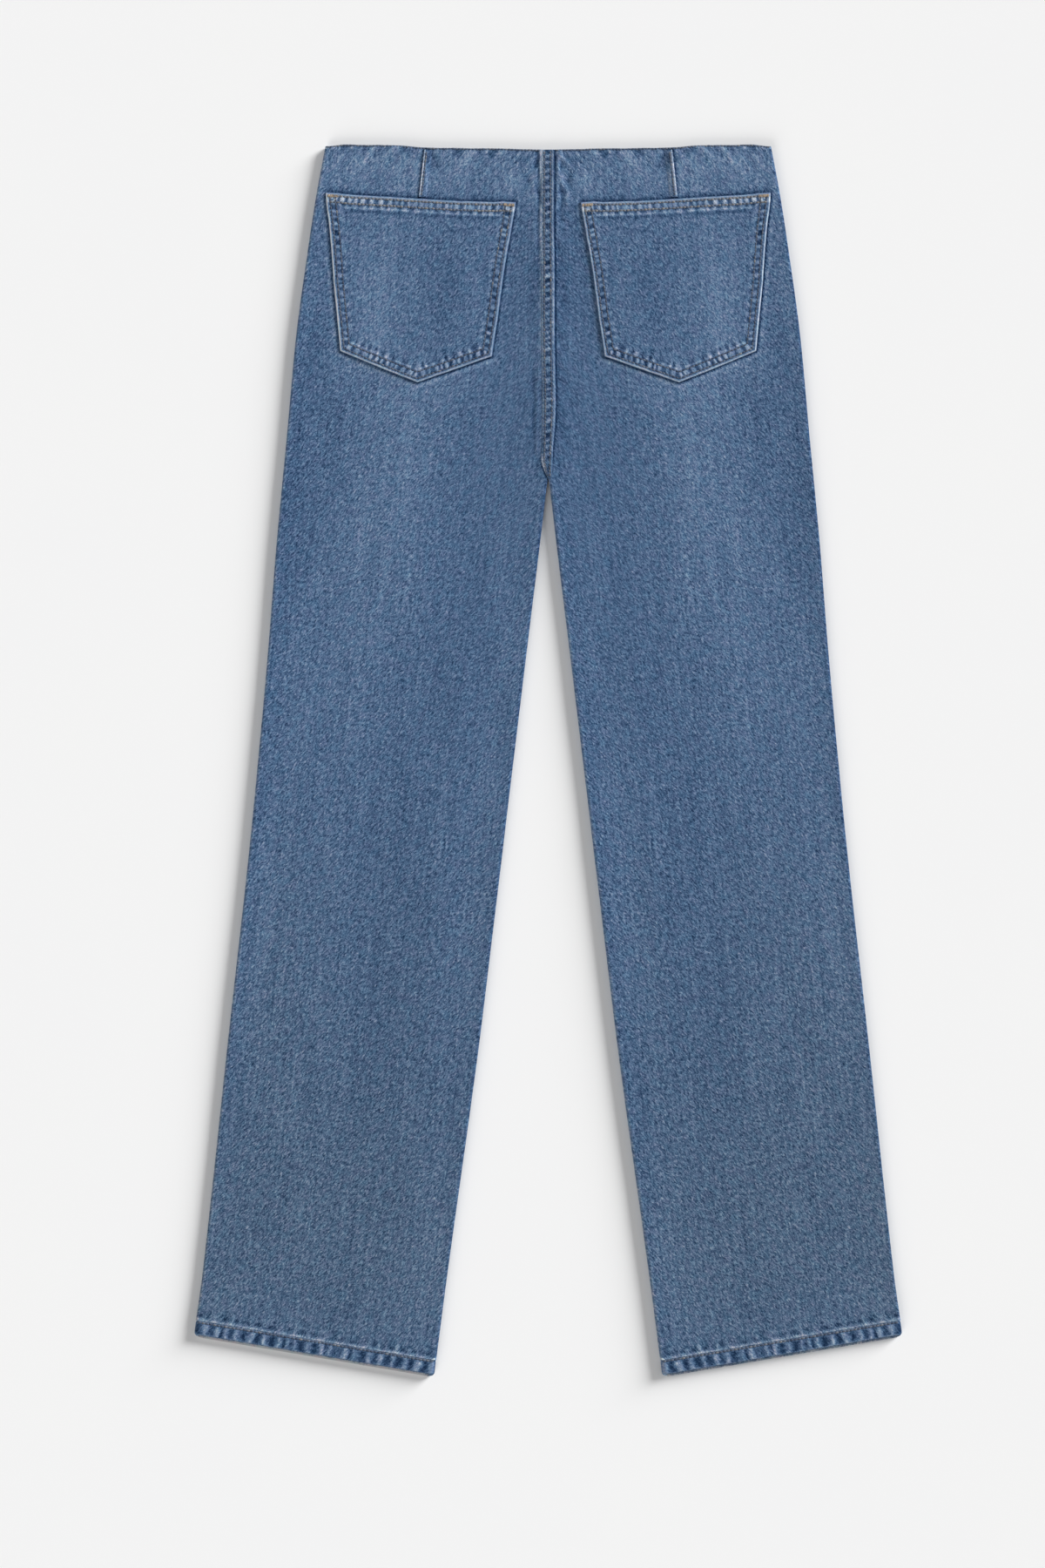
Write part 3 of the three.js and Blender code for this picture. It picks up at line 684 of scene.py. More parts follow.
def back_look(side, out, y):
    """Height and lightness that wear, sewing and washing add to a back panel, with painted light and shade set
    against the key light.
    """
    seed = 10
    tone = patches(FADES, out, y)
    grey = patches(GREY, out, y)
    height = 0.22 * noise_2d(out, y, 38, 90, seed) + 0.10 * noise_2d(out, y, 15, 40, seed + 20)
    tone += 1.5 * noise_2d(out, y, 10, 70, seed + 30)

    waist_height, waist_tone = waist_look(out, y)
    height += waist_height
    tone += waist_tone

    # Dart: painted shadow outside its fold, deeper on the right half, where the key light casts none
    t = (DART_TOP[1] - y) / (DART_TOP[1] - DART_LOW[1])
    beyond = out - lerp(DART_TOP[0], DART_LOW[0], t)
    ends = smooth(-0.09, -0.03, t) * smooth(1.08, 1.0, t)
    tone = tone + ends * (16.0 * bell(beyond - 2.2, 1.2) - DART_PAINTED_SHADOW[side] * bell(beyond - 0.8, 0.75))

    # Centre seam: painted light over its cast shadow on the left, painted shadow beside its folded edge on the
    # right and near its tip on the left, and slanting drag lines
    if side == LEFT:
        tone = tone + 34.0 * bell(out - 6.3, 0.9) * lerp(0.35, 1.0, smooth(330, 360, y)) * smooth(258, 280, y)
        tone = tone - 64.0 * bell(out + seam_place(np.full_like(y, -6.2), y), 1.1) * bell(y - 246, 8)
    else:
        dark = lerp(44.0, 54.0, smooth(330, 360, y)) * smooth(244, 262, y)
        tone = tone - dark * bell(out - seam_place(np.full_like(y, 5.95), y), 0.95)
    beside = smooth(5.5, 9.0, out) * (1 - smooth(12.0, 30.0, out)) * smooth(236, 250, y)
    drag = puckers(y + 0.9 * out, 11.0, seed + 50, 0.25)
    drag_wide = puckers(y + 1.6 * out, 34.0, seed + 51, 0.25)
    height += beside * (0.10 * drag + 0.14 * drag_wide)
    tone += beside * (3.0 * drag + 4.0 * drag_wide)
    crease_height, crease_tone = crease_look(side, out, y)
    height += crease_height
    tone += crease_tone

    # Pocket: the cloth beside it is held down, with painted shadow along its edges and a thin pale rim beyond
    depth, place = pocket_distances(out, y)
    outside = np.max(-depth, axis=0)
    nearest = np.argmax(-depth, axis=0)
    along = np.take_along_axis(place, nearest[None], 0)[0]
    ring = puckers(along + 200.0 * nearest, 9.0, seed + 60, 0.25)
    outer_ring = smooth(0.8, 2.6, outside) * (1 - smooth(4.0, 12.0, outside))
    painted_shadow = np.array(POCKET_PAINTED_SHADOW[side])[nearest] * smooth(-3.0, -1.0, outside)
    tone = tone - painted_shadow * (1 - smooth(0.7, np.where(nearest == 0, 3.4, 2.0), outside))
    tone += outer_ring * (2.0 + 5.0 * ring)
    tone = tone + np.array(POCKET_RIM_TONE)[nearest] * bell(outside - 3.4, 1.5)
    height = height * smooth(-1.0, 4.0, outside) + outer_ring * 0.08 * ring - 0.12 * smooth(1.5, -1.0, outside)

    # Above the hem: short pale creases that lean with the twill, dark specks between them
    up = y - hem_top_at(out)
    crease = puckers(out + 0.5 * up, 19.0, seed + 70, 0.08)
    spots = puckers(out + 0.3 * up, 9.0, seed + 71, 0.24)
    reach = 0.55 + 0.45 * noise_1d(out, 23, seed + 72)
    fade = smooth(0.0, 1.0, up) * (1 - smooth(2.0, 6.0 + 10.0 * reach, up))
    ridge = 0.75 + 0.4 * noise_1d(out, 4.5, seed + 73)
    tone = tone + fade * 44.0 * np.maximum(crease, 0) + (32.0 * spots - 14.0) * bell(up - 4.8, 2.2)
    tone = tone + 58.0 * ridge * bell(up - 1.0, 1.2)
    height = height + fade * 0.2 * crease + 0.15 * spots * bell(up - 4.0, 3.0) + 0.25 * bell(up - 0.7, 1.3)
    # Painted shade where the slopes face the key light and painted light where they face away
    return height, (tone - level_tone(side, out, y)) / 100.0, np.clip(grey, 0, 1)


# Pieces
def declare(made, nodes):
    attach(made, "root")
    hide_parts(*nodes)
    return made


def at_side(points, side):
    return points * np.array([side, 1.0, 1.0])


BACK_ROWS = steps((WAIST, 0.6), (514, 1.0), (500, 1.8), (484, 0.9), (466, 2.4), (350, 0.9), (316, 2.2),
                  (262, 1.2), (229, 3.0), (-470, 2.0), (-490, 1.0), (HEM + HEM_DEPTH + SEAM_GAP, None))
BACK_SHARES = steps((0.0, 0.0055), (0.1, 0.005), (0.235, 0.0145), (0.8, 0.005), (0.96, 0.007), (1.0, None))


def waist_swell(out):
    """How far the waist's edge rises above a straight line towards the side seam."""
    return 0.3 + 1.4 * smooth(104, 124, out) * (1 - smooth(172, 187, out)) + 0.3 * noise_1d(out, 13, 77)


def turn_runs(height, cloth, lip, number=9):
    half = np.pi * (height - cloth) / 2
    runs = list(np.linspace(0, half, number + 1))
    return runs + ([half + lip / 2, half + lip] if lip else [])


def turned_columns(rows, runs, curl, height, cloth, lip, put):
    """Columns of (place on the outline, distance, height, turn, run) round one edge, nearest the flat part first.
    """
    made = []
    for run in runs:
        distance, z, turn = turned_edge(run, curl, height, cloth, lip)
        made.append((put(distance), distance, z, turn, run))
    return made


def back_panel(name, side):
    rows = Rows(BACK_ROWS)
    runs = turn_runs(EDGE_HEIGHT, CLOTH, SEAM_TURN)
    one = np.ones(len(BACK_ROWS))
    inside = turned_columns(rows, runs, rows.curl, EDGE_HEIGHT, CLOTH, SEAM_TURN, rows.from_inner)
    outside = turned_columns(rows, runs, one, EDGE_HEIGHT, CLOTH, SEAM_TURN, rows.from_outer)
    first, last = inside[0][1], rows.width - outside[0][1]
    columns = []  # xy, z of the middle, turn, cloth's own out, direction of the turn
    for xy, distance, z, turn, run in reversed(inside):
        level = turn <= 0
        top = back_height(xy[:, 0], xy[:, 1], distance, rows.width - distance) - CLOTH / 2
        columns.append((xy, np.where(level, top, z), turn, inside[0][0][:, 0] - run, -1))
    for share in BACK_SHARES[1:-1]:
        distance = lerp(first, last, share)
        xy = rows.from_inner(distance)
        z = back_height(xy[:, 0], xy[:, 1], distance, rows.width - distance) - CLOTH / 2
        columns.append((xy, z, 0 * z, xy[:, 0], 0))
    for xy, _, z, turn, run in outside:
        columns.append((xy, z, turn, outside[0][0][:, 0] + run, 1))
    xy = np.stack([c[0] for c in columns], 1)
    z = np.stack([c[1] for c in columns], 1)
    turn = np.stack([c[2] for c in columns], 1)
    cloth_out = np.stack([c[3] for c in columns], 1)
    lean = np.array([c[4] for c in columns], float)[None, :] * np.sin(turn)
    normal = np.concatenate([rows.along[:, None, :] * lean[..., None], np.cos(turn)[..., None]], -1)
    middle = np.concatenate([xy, z[..., None]], -1)
    height, tone, grey = back_look(side, xy[..., 0], xy[..., 1])
    height = height * np.maximum(0, np.cos(turn)) * smooth(0, 3, z)
    height += EDGE_SQUARE * np.sin(2 * np.minimum(turn, np.pi / 2)) ** 2
    # Painted light on the turned edges that face away from the key light, and painted shade on those that face it
    shade = np.array([c[4] for c in columns], float)[None, :] * np.sin(np.minimum(turn, np.pi / 2)) * side
    tone = tone - np.where(shade < 0, 0.44, 0.36) * shade
    crisp = CRISPNESS + patches(CRISP, xy[..., 0], xy[..., 1])
    middle[..., 1] += waist_swell(xy[..., 0]) * smooth(490, 516, xy[..., 1])
    outer = middle + normal * (CLOTH / 2 + height)[..., None]
    inner = middle - normal * (CLOTH / 2)
    lift = np.maximum(0, -outer[..., 2])
    outer[..., 2] += lift
    inner[..., 2] += lift
    cloth_out = cloth_out + LEG_LEAN * np.minimum(xy[..., 1] - LEAN_START, 0)
    cloth = np.stack([cloth_out, xy[..., 1], 0 * cloth_out], -1)
    made = wall(name, at_side(outer, side), at_side(inner, side), material=DENIM,
                cloth=cloth, tone=tone, grey=grey, crisp=crisp)
    return declare(made, [name])


def button_lift(x, y):
    distance = np.hypot(x, y - BUTTON_Y)
    return (BUTTON_HEIGHT + SEAM_GAP) * (1 - smooth(*BUTTON_LIFT, distance))


def front_panel(name, side):
    inner_y = steps((WAIST - FRONT_DIP, 1.5), (500, 3.5), (468, 6), (250, 3), (229, 6), (-490, 3),
                    (HEM + HEM_DEPTH + SEAM_GAP, None))
    rows = Rows(inner_y, FRONT_DIP - FRONT_SIDE_DIP)
    inset = EDGE_HEIGHT / 2 + SEAM_TURN + SEAM_GAP
    start = inset * smooth(0.2, 0.65, rows.curl)
    shares = steps((0.0, 0.02), (0.16, 0.026), (0.94, 0.015), (1.0, None))
    xy = np.stack([rows.from_inner(lerp(start, rows.width - inset, share)) for share in shares], 1)
    z = button_lift(xy[..., 0], xy[..., 1])
    out, y = xy[..., 0], xy[..., 1]
    bottom = np.concatenate([xy, z[..., None]], -1)
    top = bottom + np.array([0, 0, CLOTH])
    tone = (patches(FADES, out, y) + 5.0 * noise_2d(out, y, 24, 60, 91)) / 100.0
    cloth = np.stack([out, y, 0 * y], -1)
    made = wall(name, at_side(top, side), at_side(bottom, side), material=FRONT_DENIM,
                cloth=cloth, tone=tone, grey=np.clip(patches(GREY, out, y), 0, 1), crisp=np.ones_like(tone))
    return declare(made, [name])


def pocket_look(side, out, y):
    """Thickness and lightness of a pocket from its depth inside each edge."""
    seed = 110
    depth, place = pocket_distances(out, y)
    edge = np.min(depth, axis=0)
    nearest = np.argmin(depth, axis=0)
    along = np.take_along_axis(place, nearest[None], 0)[0] + 210.0 * nearest
    top = nearest == 0
    low = (nearest == 2) | (nearest == 3)

    def by_edge(table):
        return np.array(table)[nearest]

    row_1, row_2 = by_edge(POCKET_ROW_1), by_edge(POCKET_ROW_2)
    strength = np.where(top, 1.08, np.where(low, 1.2, 0.84))
    between = smooth(0.0, 0.7, edge - row_1) * (1 - smooth(-0.9, -0.2, edge - row_2))
    bars = blocks(along + 0.15 * edge, 5.6, seed, 0.4)
    swell = 0.75 + 0.25 * noise_1d(along, 17, seed + 1)
    inside = edge - row_2
    tucks = puckers(along, 7.4, seed + 2, 0.2)
    reach = smooth(0.2, 1.2, inside) * (1 - smooth(1.5, np.where(low, 9.5, np.where(top, 8.0, 5.0)), inside))
    thick = lerp(POCKET_EDGE_CLOTH, POCKET_CLOTH, smooth(0.6, 2.4, inside))
    thick = thick - POCKET_PRESSED * smooth(3.0, 0.0, inside)
    thick = thick - 0.45 * (1 - smooth(0.0, 1.1, edge)) ** 2
    thick += between * 0.22 * bars * strength * swell
    thick = thick - 0.2 * bell(edge - row_1, 0.7) - 0.2 * bell(edge - row_2, 0.7)
    thick += reach * 0.14 * tucks * strength
    thick += 0.10 * noise_2d(out, y, 22, 34, seed + 3) * smooth(6, 14, inside)

    tone = 2.0 * noise_2d(out, y, 9, 45, seed + 4) + patches(POCKET_FADES, out, y)
    worn = 0.88 + 0.12 * noise_1d(along, 4.0, seed + 5)
    wander = 0.25 * noise_1d(along, 5.0, seed + 7)
    ridge = bell(edge - by_edge(POCKET_EDGE_AT) - wander, 0.68)
    # Worn pale ridge with painted light set against the key light, and painted shade on the rim wall at the very
    # edge
    tone = tone + by_edge(POCKET_EDGE_WEAR_AND_LIGHT[side]) * worn * ridge - 26.0 * (1 - smooth(0.0, 0.45, edge))
    tone += between * (by_edge(POCKET_BAND_TONE) + strength * swell * np.where(bars > 0, 76.0, 68.0) * bars)
    tone = tone - 14.0 * bell(edge - row_1, 1.0) - 14.0 * bell(edge - row_2, 1.0)
    line = 0.75 + 0.25 * noise_1d(along, 6, seed + 6)
    pale = bell(edge - by_edge(POCKET_PALE_AT), by_edge(POCKET_PALE_WIDTH))
    tone += line * by_edge(POCKET_PALE_TONE) * pale
    tone += reach * strength * np.where(tucks > 0, np.where(low, 52.0, 34.0), 46.0) * tucks
    tone = tone + by_edge(POCKET_DARK_TONE) * bell(edge - by_edge(POCKET_PALE_AT) - 2.6, 1.6)
    # The corner boxes under the bar tacks are rubbed pale
    corner = smooth(9.4, 7.4, depth[0]) * np.maximum(smooth(9.2, 7.6, depth[1]), smooth(9.2, 7.6, depth[4]))
    tone += 44.0 * corner * smooth(3.2, 4.2, depth[0])
    crisp = 1.0 - 0.6 * (1 - smooth(1.2, 2.2, edge)) - 0.25 * between
    return thick, tone / 100.0, np.clip(crisp, 0.2, 1)


def pocket(name, side):
    corner = {k: np.array(v, float) for k, v in POCKET_CORNERS.items()}
    u = steps((0.0, 0.0042), (0.085, 0.0062), (0.5, 0.0062), (0.915, 0.0042), (1.0, None))
    v = steps((0.0, 0.0042), (0.09, 0.0065), (0.9, 0.0045), (1.0, None))
    low = np.where((u < 0.5)[:, None], lerp(corner["inner_low"], corner["tip"], 2 * u[:, None]),
                   lerp(corner["tip"], corner["outer_low"], 2 * u[:, None] - 1))
    high = lerp(corner["inner_top"], corner["outer_top"], u[:, None])
    xy = lerp(high[None], low[None], v[:, None, None])
    for k, (a, along, inward, _) in enumerate(POCKET_LINES):
        bow = pocket_bow(k, (xy - a) @ along) * (1 - smooth(0, 14, (xy - a) @ inward))
        xy = xy + bow[..., None] * inward
    out, y = xy[..., 0], xy[..., 1]
    base = seat_height(out, y) + SEAM_GAP
    thick, tone, crisp = pocket_look(side, out, y)
    bottom = np.concatenate([xy, (base - 0.25)[..., None]], -1)
    top = np.concatenate([xy, (base + thick)[..., None]], -1)
    cloth = np.stack([out, y, 0 * y], -1)
    made = wall(name, at_side(top, side), at_side(bottom, side), material=POCKET_DENIM,
                cloth=cloth, tone=tone, grey=0 * tone, crisp=crisp)
    return declare(made, [name])


def seam_taper(y):
    tapered = np.clip((SEAM_TIP + SEAM_TAPER - y) / SEAM_TAPER, 0, 1)
    return tapered, lerp(1.0, SEAM_TIP_SHARE, tapered ** 2)


def seam_surface(x, y):
    """Height of the centre seam's outer face where x is measured at its full width."""
    tapered, narrow = seam_taper(y)
    base = seat_height(x * narrow, y) + SEAM_GAP - tapered ** 6
    places = [-5.8, -5.2, -4.6, 0, 3.4, 4.7, 5.2, 5.4]
    return base, np.interp(x, places, [-0.05, 0.15, 0.35, 0.7, 0.95, 1.15, 1.0, 0.6])


def seam_place(x, y):
    """Where the seam's cloth lies: it swings to the right above the crotch, and its folded edge comes in there."""
    tapered, _ = seam_taper(y)
    wide = 0.96 + 0.09 * smooth(445, 410, y) - 0.37 * smooth(296, 252, y)
    right = x * wide * lerp(1.0, 0.4, tapered ** 2)
    left = x * (1 + 0.04 * bell(y - 256, 8)) * lerp(1.0, 0.06, tapered ** 1.2)
    return np.where(x > 0, right, left) + 0.9 * bell(y - 303, 32) + 0.7 * tapered ** 2


def seat_seam():
    y = steps((WAIST, 0.8), (SEAM_TIP + SEAM_TAPER, 0.8), (SEAM_TIP, None))
    x = steps((-5.8, 0.45), (5.4, None))
    x, y = np.meshgrid(x, y)
    base, thick = seam_surface(x, y)
    tapered, _ = seam_taper(y)
    bars = blocks(WAIST - y + 0.25 * x, 6.6, 201, 0.36)
    swell = 0.65 + 0.35 * noise_1d(y, 22, 202)
    between = smooth(-3.4, -2.6, x) * (1 - smooth(1.6, 2.3, x)) * (1 - tapered)
    thick += 0.22 * between * bars * swell
    thick = thick - 0.16 * bell(x + 3.2, 0.8) - 0.16 * bell(x - 2.1, 0.8)
    tone = between * swell * np.where(bars > 0, 78.0, 60.0) * bars
    ridge = 0.8 + 0.2 * noise_1d(y, 5, 203)
    tone = tone + 66.0 * ridge * bell(x - 4.05, 0.72) * (1 - 0.4 * smooth(290, 250, y))
    fold_end = 5.3 - 0.5 * smooth(430, 460, y)
    # Painted shadow on the outer wall of the folded edge
    tone = tone - 60.0 * smooth(fold_end - 0.4, fold_end, x)
    left_ridge = 60.0 + 36.0 * smooth(480, 498, y) - 14.0 * smooth(360, 340, y) - 40.0 * bell(y - 267, 7)
    tone += left_ridge * (0.8 + 0.2 * noise_1d(y, 6, 204)) * bell(x + 5.2, 1.2)
    tone = tone + 60.0 * bell(x + 4.8, 1.3) * bell(y - 251, 7)
    tone = tone - 4.0 * bell(x + 3.2, 1.0) - 8.0 * bell(x - 2.1, 1.0)
    outer = np.stack([seam_place(x, y), y, base + thick], -1)
    inner = np.stack([seam_place(x, y), y, base - 0.25], -1)
    cloth = np.stack([x + 40, y, 0 * y], -1)
    crisp = 1.0 - 0.5 * bell(x - 4.4, 1.0)
    made = wall("seat_seam", outer, inner, material=SEAM_DENIM, cloth=cloth, tone=tone / 100.0,
                grey=0 * tone, crisp=crisp)
    return declare(made, ["seat_seam"])


def dart(name, side):
    t = np.linspace(-0.03, 1, 48)
    across = np.array([7.0, 6.2, 5.4, 4.2, 3.2, 2.4, 1.7, 1.1, 0.7, 0.4, 0.15, 0.0])
    thick = np.interp(across, [0, 0.2, 0.7, 3.5, 5.6, 7.0], [0.4, 0.7, 0.8, 0.5, 0.1, -0.36])
    fold = lerp(DART_TOP[0], DART_LOW[0], t)
    out = fold[:, None] - across[None, :]
    y = np.broadcast_to(lerp(DART_TOP[1], DART_LOW[1], t)[:, None], out.shape)
    seed = 300
    along = puckers(y, 6.5, seed, 0.25)
    base = seat_height(out, y) + SEAM_GAP
    waist_height, waist_tone = waist_look(out, y)
    crease_height, crease_tone = crease_look(side, out, y)
    lump = 0.08 * along * bell(across - 2.6, 1.6)[None, :] + waist_height + crease_height
    flat_part = smooth(1.5, 4.0, across)[None, :]
    tone = (waist_tone + crease_tone) * lerp(0.5, 1.0, flat_part)
    worn = 0.85 + 0.15 * noise_1d(y, 4, seed + 2)
    # Worn pale ridge on the fold, with painted light on the left half where it faces away from the key light
    tone = tone + 6.0 + DART_RIDGE_WEAR_AND_LIGHT[side] * bell(across - 0.7, 0.8)[None, :] * worn
    # Painted shadow on the fold's outer wall, and a darker band along the stitching
    tone = tone - 60.0 * bell(across, 0.25)[None, :] - 16.0 * bell(across - 2.7, 1.2)[None, :]
    tone = tone + 9.0 * along * bell(across - 4.6, 1.6)[None, :] * smooth(-0.1, 1.0, along)
    # Painted shade on the left half and painted light on the right half, on the slope that falls towards the
    # centre, against the key light
    tone += side * 11.0 * (smooth(0.8, 2.0, across) * smooth(7.2, 6.2, across))[None, :]
    tone += patches(FADES, out, y) * smooth(1.0, 6.0, across)[None, :]
    top = base + thick[None, :] + lump
    outer = np.stack([out, y, top], -1)
    inner = np.stack([out, y, np.minimum(base - 0.25, top - 0.15)], -1)
    cloth = np.stack([out, y, 0 * y], -1)
    made = wall(name, at_side(outer, side), at_side(inner, side), material=DENIM, cloth=cloth,
                tone=tone / 100.0, grey=0 * tone, crisp=np.full_like(tone, 0.9))
    return declare(made, [name])


HEM_HEIGHT = EDGE_HEIGHT + HEM_PROUD


def hem(name, side):
    seed = 400
    down = steps((0.0, 0.4), (1.6, 0.75), (10.0, 0.5), (HEM_DEPTH, None))
    rows = Rows(HEM + HEM_DEPTH - down)
    one = np.ones(len(down))
    runs = turn_runs(HEM_HEIGHT, HEM_CLOTH, 0, 10)
    radius = (HEM_HEIGHT - HEM_CLOTH) / 2
    flat = rows.width - HEM_HEIGHT
    columns = []  # xy, z, turn, place round the hem, direction
    number = 190
    for k in range(1, number):
        share = k / number
        distance = HEM_HEIGHT / 2 + flat * share
        columns.append((rows.from_inner(distance), one * (HEM_HEIGHT - HEM_CLOTH / 2), 0 * one, distance, 1))
    for run in runs:
        distance, z, turn = turned_edge(run, one, HEM_HEIGHT, HEM_CLOTH, 0)
        columns.append((rows.from_outer(distance), z, turn, rows.width - HEM_HEIGHT / 2 + run, 1))
    under = 110
    for k in range(1, under):
        share = k / under
        distance = HEM_HEIGHT / 2 + flat * share
        place = rows.width - HEM_HEIGHT / 2 + np.pi * radius + flat * share
        columns.append((rows.from_outer(distance), one * (HEM_CLOTH / 2), np.pi * one, place, 1))
    for run in reversed(runs):
        distance, z, turn = turned_edge(run, one, HEM_HEIGHT, HEM_CLOTH, 0)
        place = rows.width + np.pi * 2 * radius + flat - run
        columns.append((rows.from_inner(distance), z, turn, place, -1))
    xy = np.stack([c[0] for c in columns], 1)
    z = np.stack([c[1] for c in columns], 1)
    turn = np.stack([c[2] for c in columns], 1)
    place = np.stack([c[3] for c in columns], 1)
    lean = np.array([c[4] for c in columns], float)[None, :] * np.sin(turn)
    normal = np.concatenate([rows.along[:, None, :] * lean[..., None], np.cos(turn)[..., None]], -1)
    depth = np.broadcast_to(down[:, None], z.shape)
    wander = place - 0.15 * depth + 0.9 * noise_2d(place, depth, 5.0, 3.5, seed + 5)
    wave = puckers(wander, 10.0, seed, 0.2)
    wide = puckers(place - 0.3 * depth, 24.0, seed + 1, 0.25)
    band = smooth(1.8, 3.0, depth) * (1 - smooth(10.4, 12.0, depth))
    round_edge = 0.45 * (1 - smooth(0, 1.0, depth)) ** 2 + 0.5 * smooth(10.9, 12.0, depth) ** 2
    shape = -round_edge - 0.3 * bell(depth - HEM_ROW, 0.7) + band * (0.22 * wave + 0.1 * wide)
    tone = 1.0 + band * (np.where(wave > 0, 52.0, 62.0) * wave + 11.0 * wide)
    ridge = 0.7 + 0.45 * noise_1d(place, 5, seed + 2)
    tone = tone + 26.0 * ridge * bell(depth, 0.7) - 22.0 * bell(depth - HEM_ROW, 0.9)
    tone = tone + 36.0 * (0.6 + 0.4 * noise_1d(place, 7, seed + 3)) * bell(depth - 11.4, 0.9)
    # Painted light on the turned-under strip at the bottom, which lies in the shadow of the hem above it
    tone += 84.0 * smooth(0.5, 0.9, turn / np.pi) * smooth(9.5, 10.5, depth)
    # Painted light on the turned ends that face away from the key light, and painted shade on those that face it
    facing = np.array([c[4] for c in columns], float)[None, :] * np.sin(np.minimum(turn, np.pi / 2)) * side
    tone = tone - np.where(facing < 0, 38.0, 32.0) * facing
    drop = FRONT_HEM_DROP * (down / HEM_DEPTH)[:, None] * turn / np.pi
    middle = np.concatenate([xy, z[..., None]], -1)
    middle[..., 1] -= drop
    centre = rows.from_inner(rows.width / 2)[:, None, :]
    narrow = 2 * HEM_CORNER * smooth(HEM_DEPTH - 2.6, HEM_DEPTH + 1.0, down) / rows.width
    middle[..., :2] = lerp(middle[..., :2], centre, narrow[:, None, None])
    outer = middle + normal * (HEM_CLOTH / 2 + shape * smooth(-0.9, 0.2, np.cos(turn)))[..., None]
    inner = middle - normal * (HEM_CLOTH / 2)
    cloth = np.stack([place + 80, xy[..., 1] - 0.17 * place, 0 * place], -1)
    made = wall(name, at_side(outer, side), at_side(inner, side), wrapped=True, material=SEAM_DENIM,
                cloth=cloth, tone=tone / 100.0, grey=0.4 + 0.25 * smooth(10.8, 11.6, depth),
                crisp=0.85 + 0 * tone)
    return declare(made, [name])


def fly_button():
    profile = [(0, 0.5), (2.2, 0.45), (2.6, 0.15), (3.4, 0.1), (4.6, 0.42), (6.2, 0.42), (6.9, 0.1), (7.4, 0.0),
               (8.1, 0.25), (8.5, 0.8), (8.5, 1.7), (8.2, 2.1), (7.6, 2.2), (0, 2.2)]
    segments = 64
    angle = np.linspace(0, 2 * np.pi, segments, endpoint=False)
    rings = [(r, z) for r, z in profile if r > 0]
    points = [(0, BUTTON_Y, profile[0][1])]
    for r, z in rings:
        points += [(r * np.cos(a), BUTTON_Y + r * np.sin(a), z) for a in angle]
    points.append((0, BUTTON_Y, profile[-1][1]))
    faces = []
    end = len(points) - 1
    for k in range(segments):
        n = (k + 1) % segments
        faces.append((0, 1 + n, 1 + k))
        base = 1 + (len(rings) - 1) * segments
        faces.append((end, base + k, base + n))
        for ring in range(len(rings) - 1):
            a, b = 1 + ring * segments, 1 + (ring + 1) * segments
            faces += [(a + k, a + n, b + n), (a + k, b + n, b + k)]
    made = mesh_object("fly_button", np.array(points) * MM, np.array(faces), NICKEL, crease=35.0)
    return declare(made, ["fly_button"])


# Stitching
class Stitches:
    """Short rounded lengths of thread that lie along a line and dip into the cloth at both ends."""

    SIDES = 6
    SHAPE = [(-0.5, 0.5, -0.45), (-0.4, 0.9, -0.15), (-0.18, 1.0, 0.05), (0.18, 1.0, 0.05), (0.4, 0.9, -0.15),
             (0.5, 0.5, -0.45)]  # place along, width and height at each ring

    def __init__(self, seed):
        self.rng = np.random.default_rng(seed)
        self.points, self.faces, self.shades, self.count = [], [], [], 0

    def stitch(self, middle, along, up, length, thick, shade):
        across = np.cross(up, along)
        rings = []
        for place, width, height in self.SHAPE:
            centre = middle + along * place * length + up * height * thick * 0.5
            for k in range(self.SIDES):
                a = 2 * np.pi * k / self.SIDES
                rings.append(centre + (across * np.cos(a) + up * np.sin(a) * 0.5) * width * thick / 2)
        self.points += rings
        number = self.SIDES
        for ring in range(len(self.SHAPE) - 1):
            for k in range(number):
                n = (k + 1) % number
                a, b = self.count + ring * number, self.count + (ring + 1) * number
                self.faces += [(a + k, a + n, b + n), (a + k, b + n, b + k)]
        last = self.count + (len(self.SHAPE) - 1) * number
        for k in range(1, number - 1):
            self.faces += [(self.count, self.count + k + 1, self.count + k), (last, last + k, last + k + 1)]
        self.count += len(rings)
        self.shades += [shade] * len(rings)

    def row(self, line, side, surface, pitch=3.0, thick=1.4, sunk=-0.05, gap=0.02, up_sign=1.0,
            shades=(0.12, 0.6)):
        """line is (n, 2) points of (out, y); surface gives the height of the cloth's face."""
        line = np.asarray(line, float)
        spans = np.linalg.norm(np.diff(line, axis=0), axis=1)
        at = np.concatenate([[0], np.cumsum(spans)])
        number = max(1, int(round(at[-1] / pitch)))
        step = at[-1] / number
        for k in range(number):
            length = step * (1 - gap) * self.rng.uniform(0.92, 1.06)
            s = (k + 0.5) * step + self.rng.uniform(-0.08, 0.08)
            ends = np.array([[np.interp(s + d, at, line[:, c]) for c in (0, 1)]
                             for d in (-length / 2, length / 2)])
            ends += self.rng.uniform(-0.12, 0.12, (2, 2))
            heights = np.array([float(surface(*end)) for end in ends])
            a, b = (np.array([side * end[0], end[1], z]) for end, z in zip(ends, heights))
            along = b - a
            reach = np.linalg.norm(along)
            if reach < 1e-6:
                continue
            along /= reach
            up = np.array([0, 0, up_sign])
            up = up - along * (up @ along)
            up /= np.linalg.norm(up)
            middle_z = float(surface(*ends.mean(0)))
            middle = (a + b) / 2
            middle[2] = middle_z - up_sign * sunk
            shade = self.rng.uniform(*shades)
            if self.rng.random() < 0.04:
                shade = self.rng.uniform(0.7, 0.9)
            self.stitch(middle, along, up, reach, thick * self.rng.uniform(0.9, 1.1), shade)

    def build(self, name, material, slot):
        made = mesh_object(name, np.array(self.points) * MM, np.array(self.faces), material,
                           {"shade": np.array(self.shades)})
        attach(made, "root")
        return made


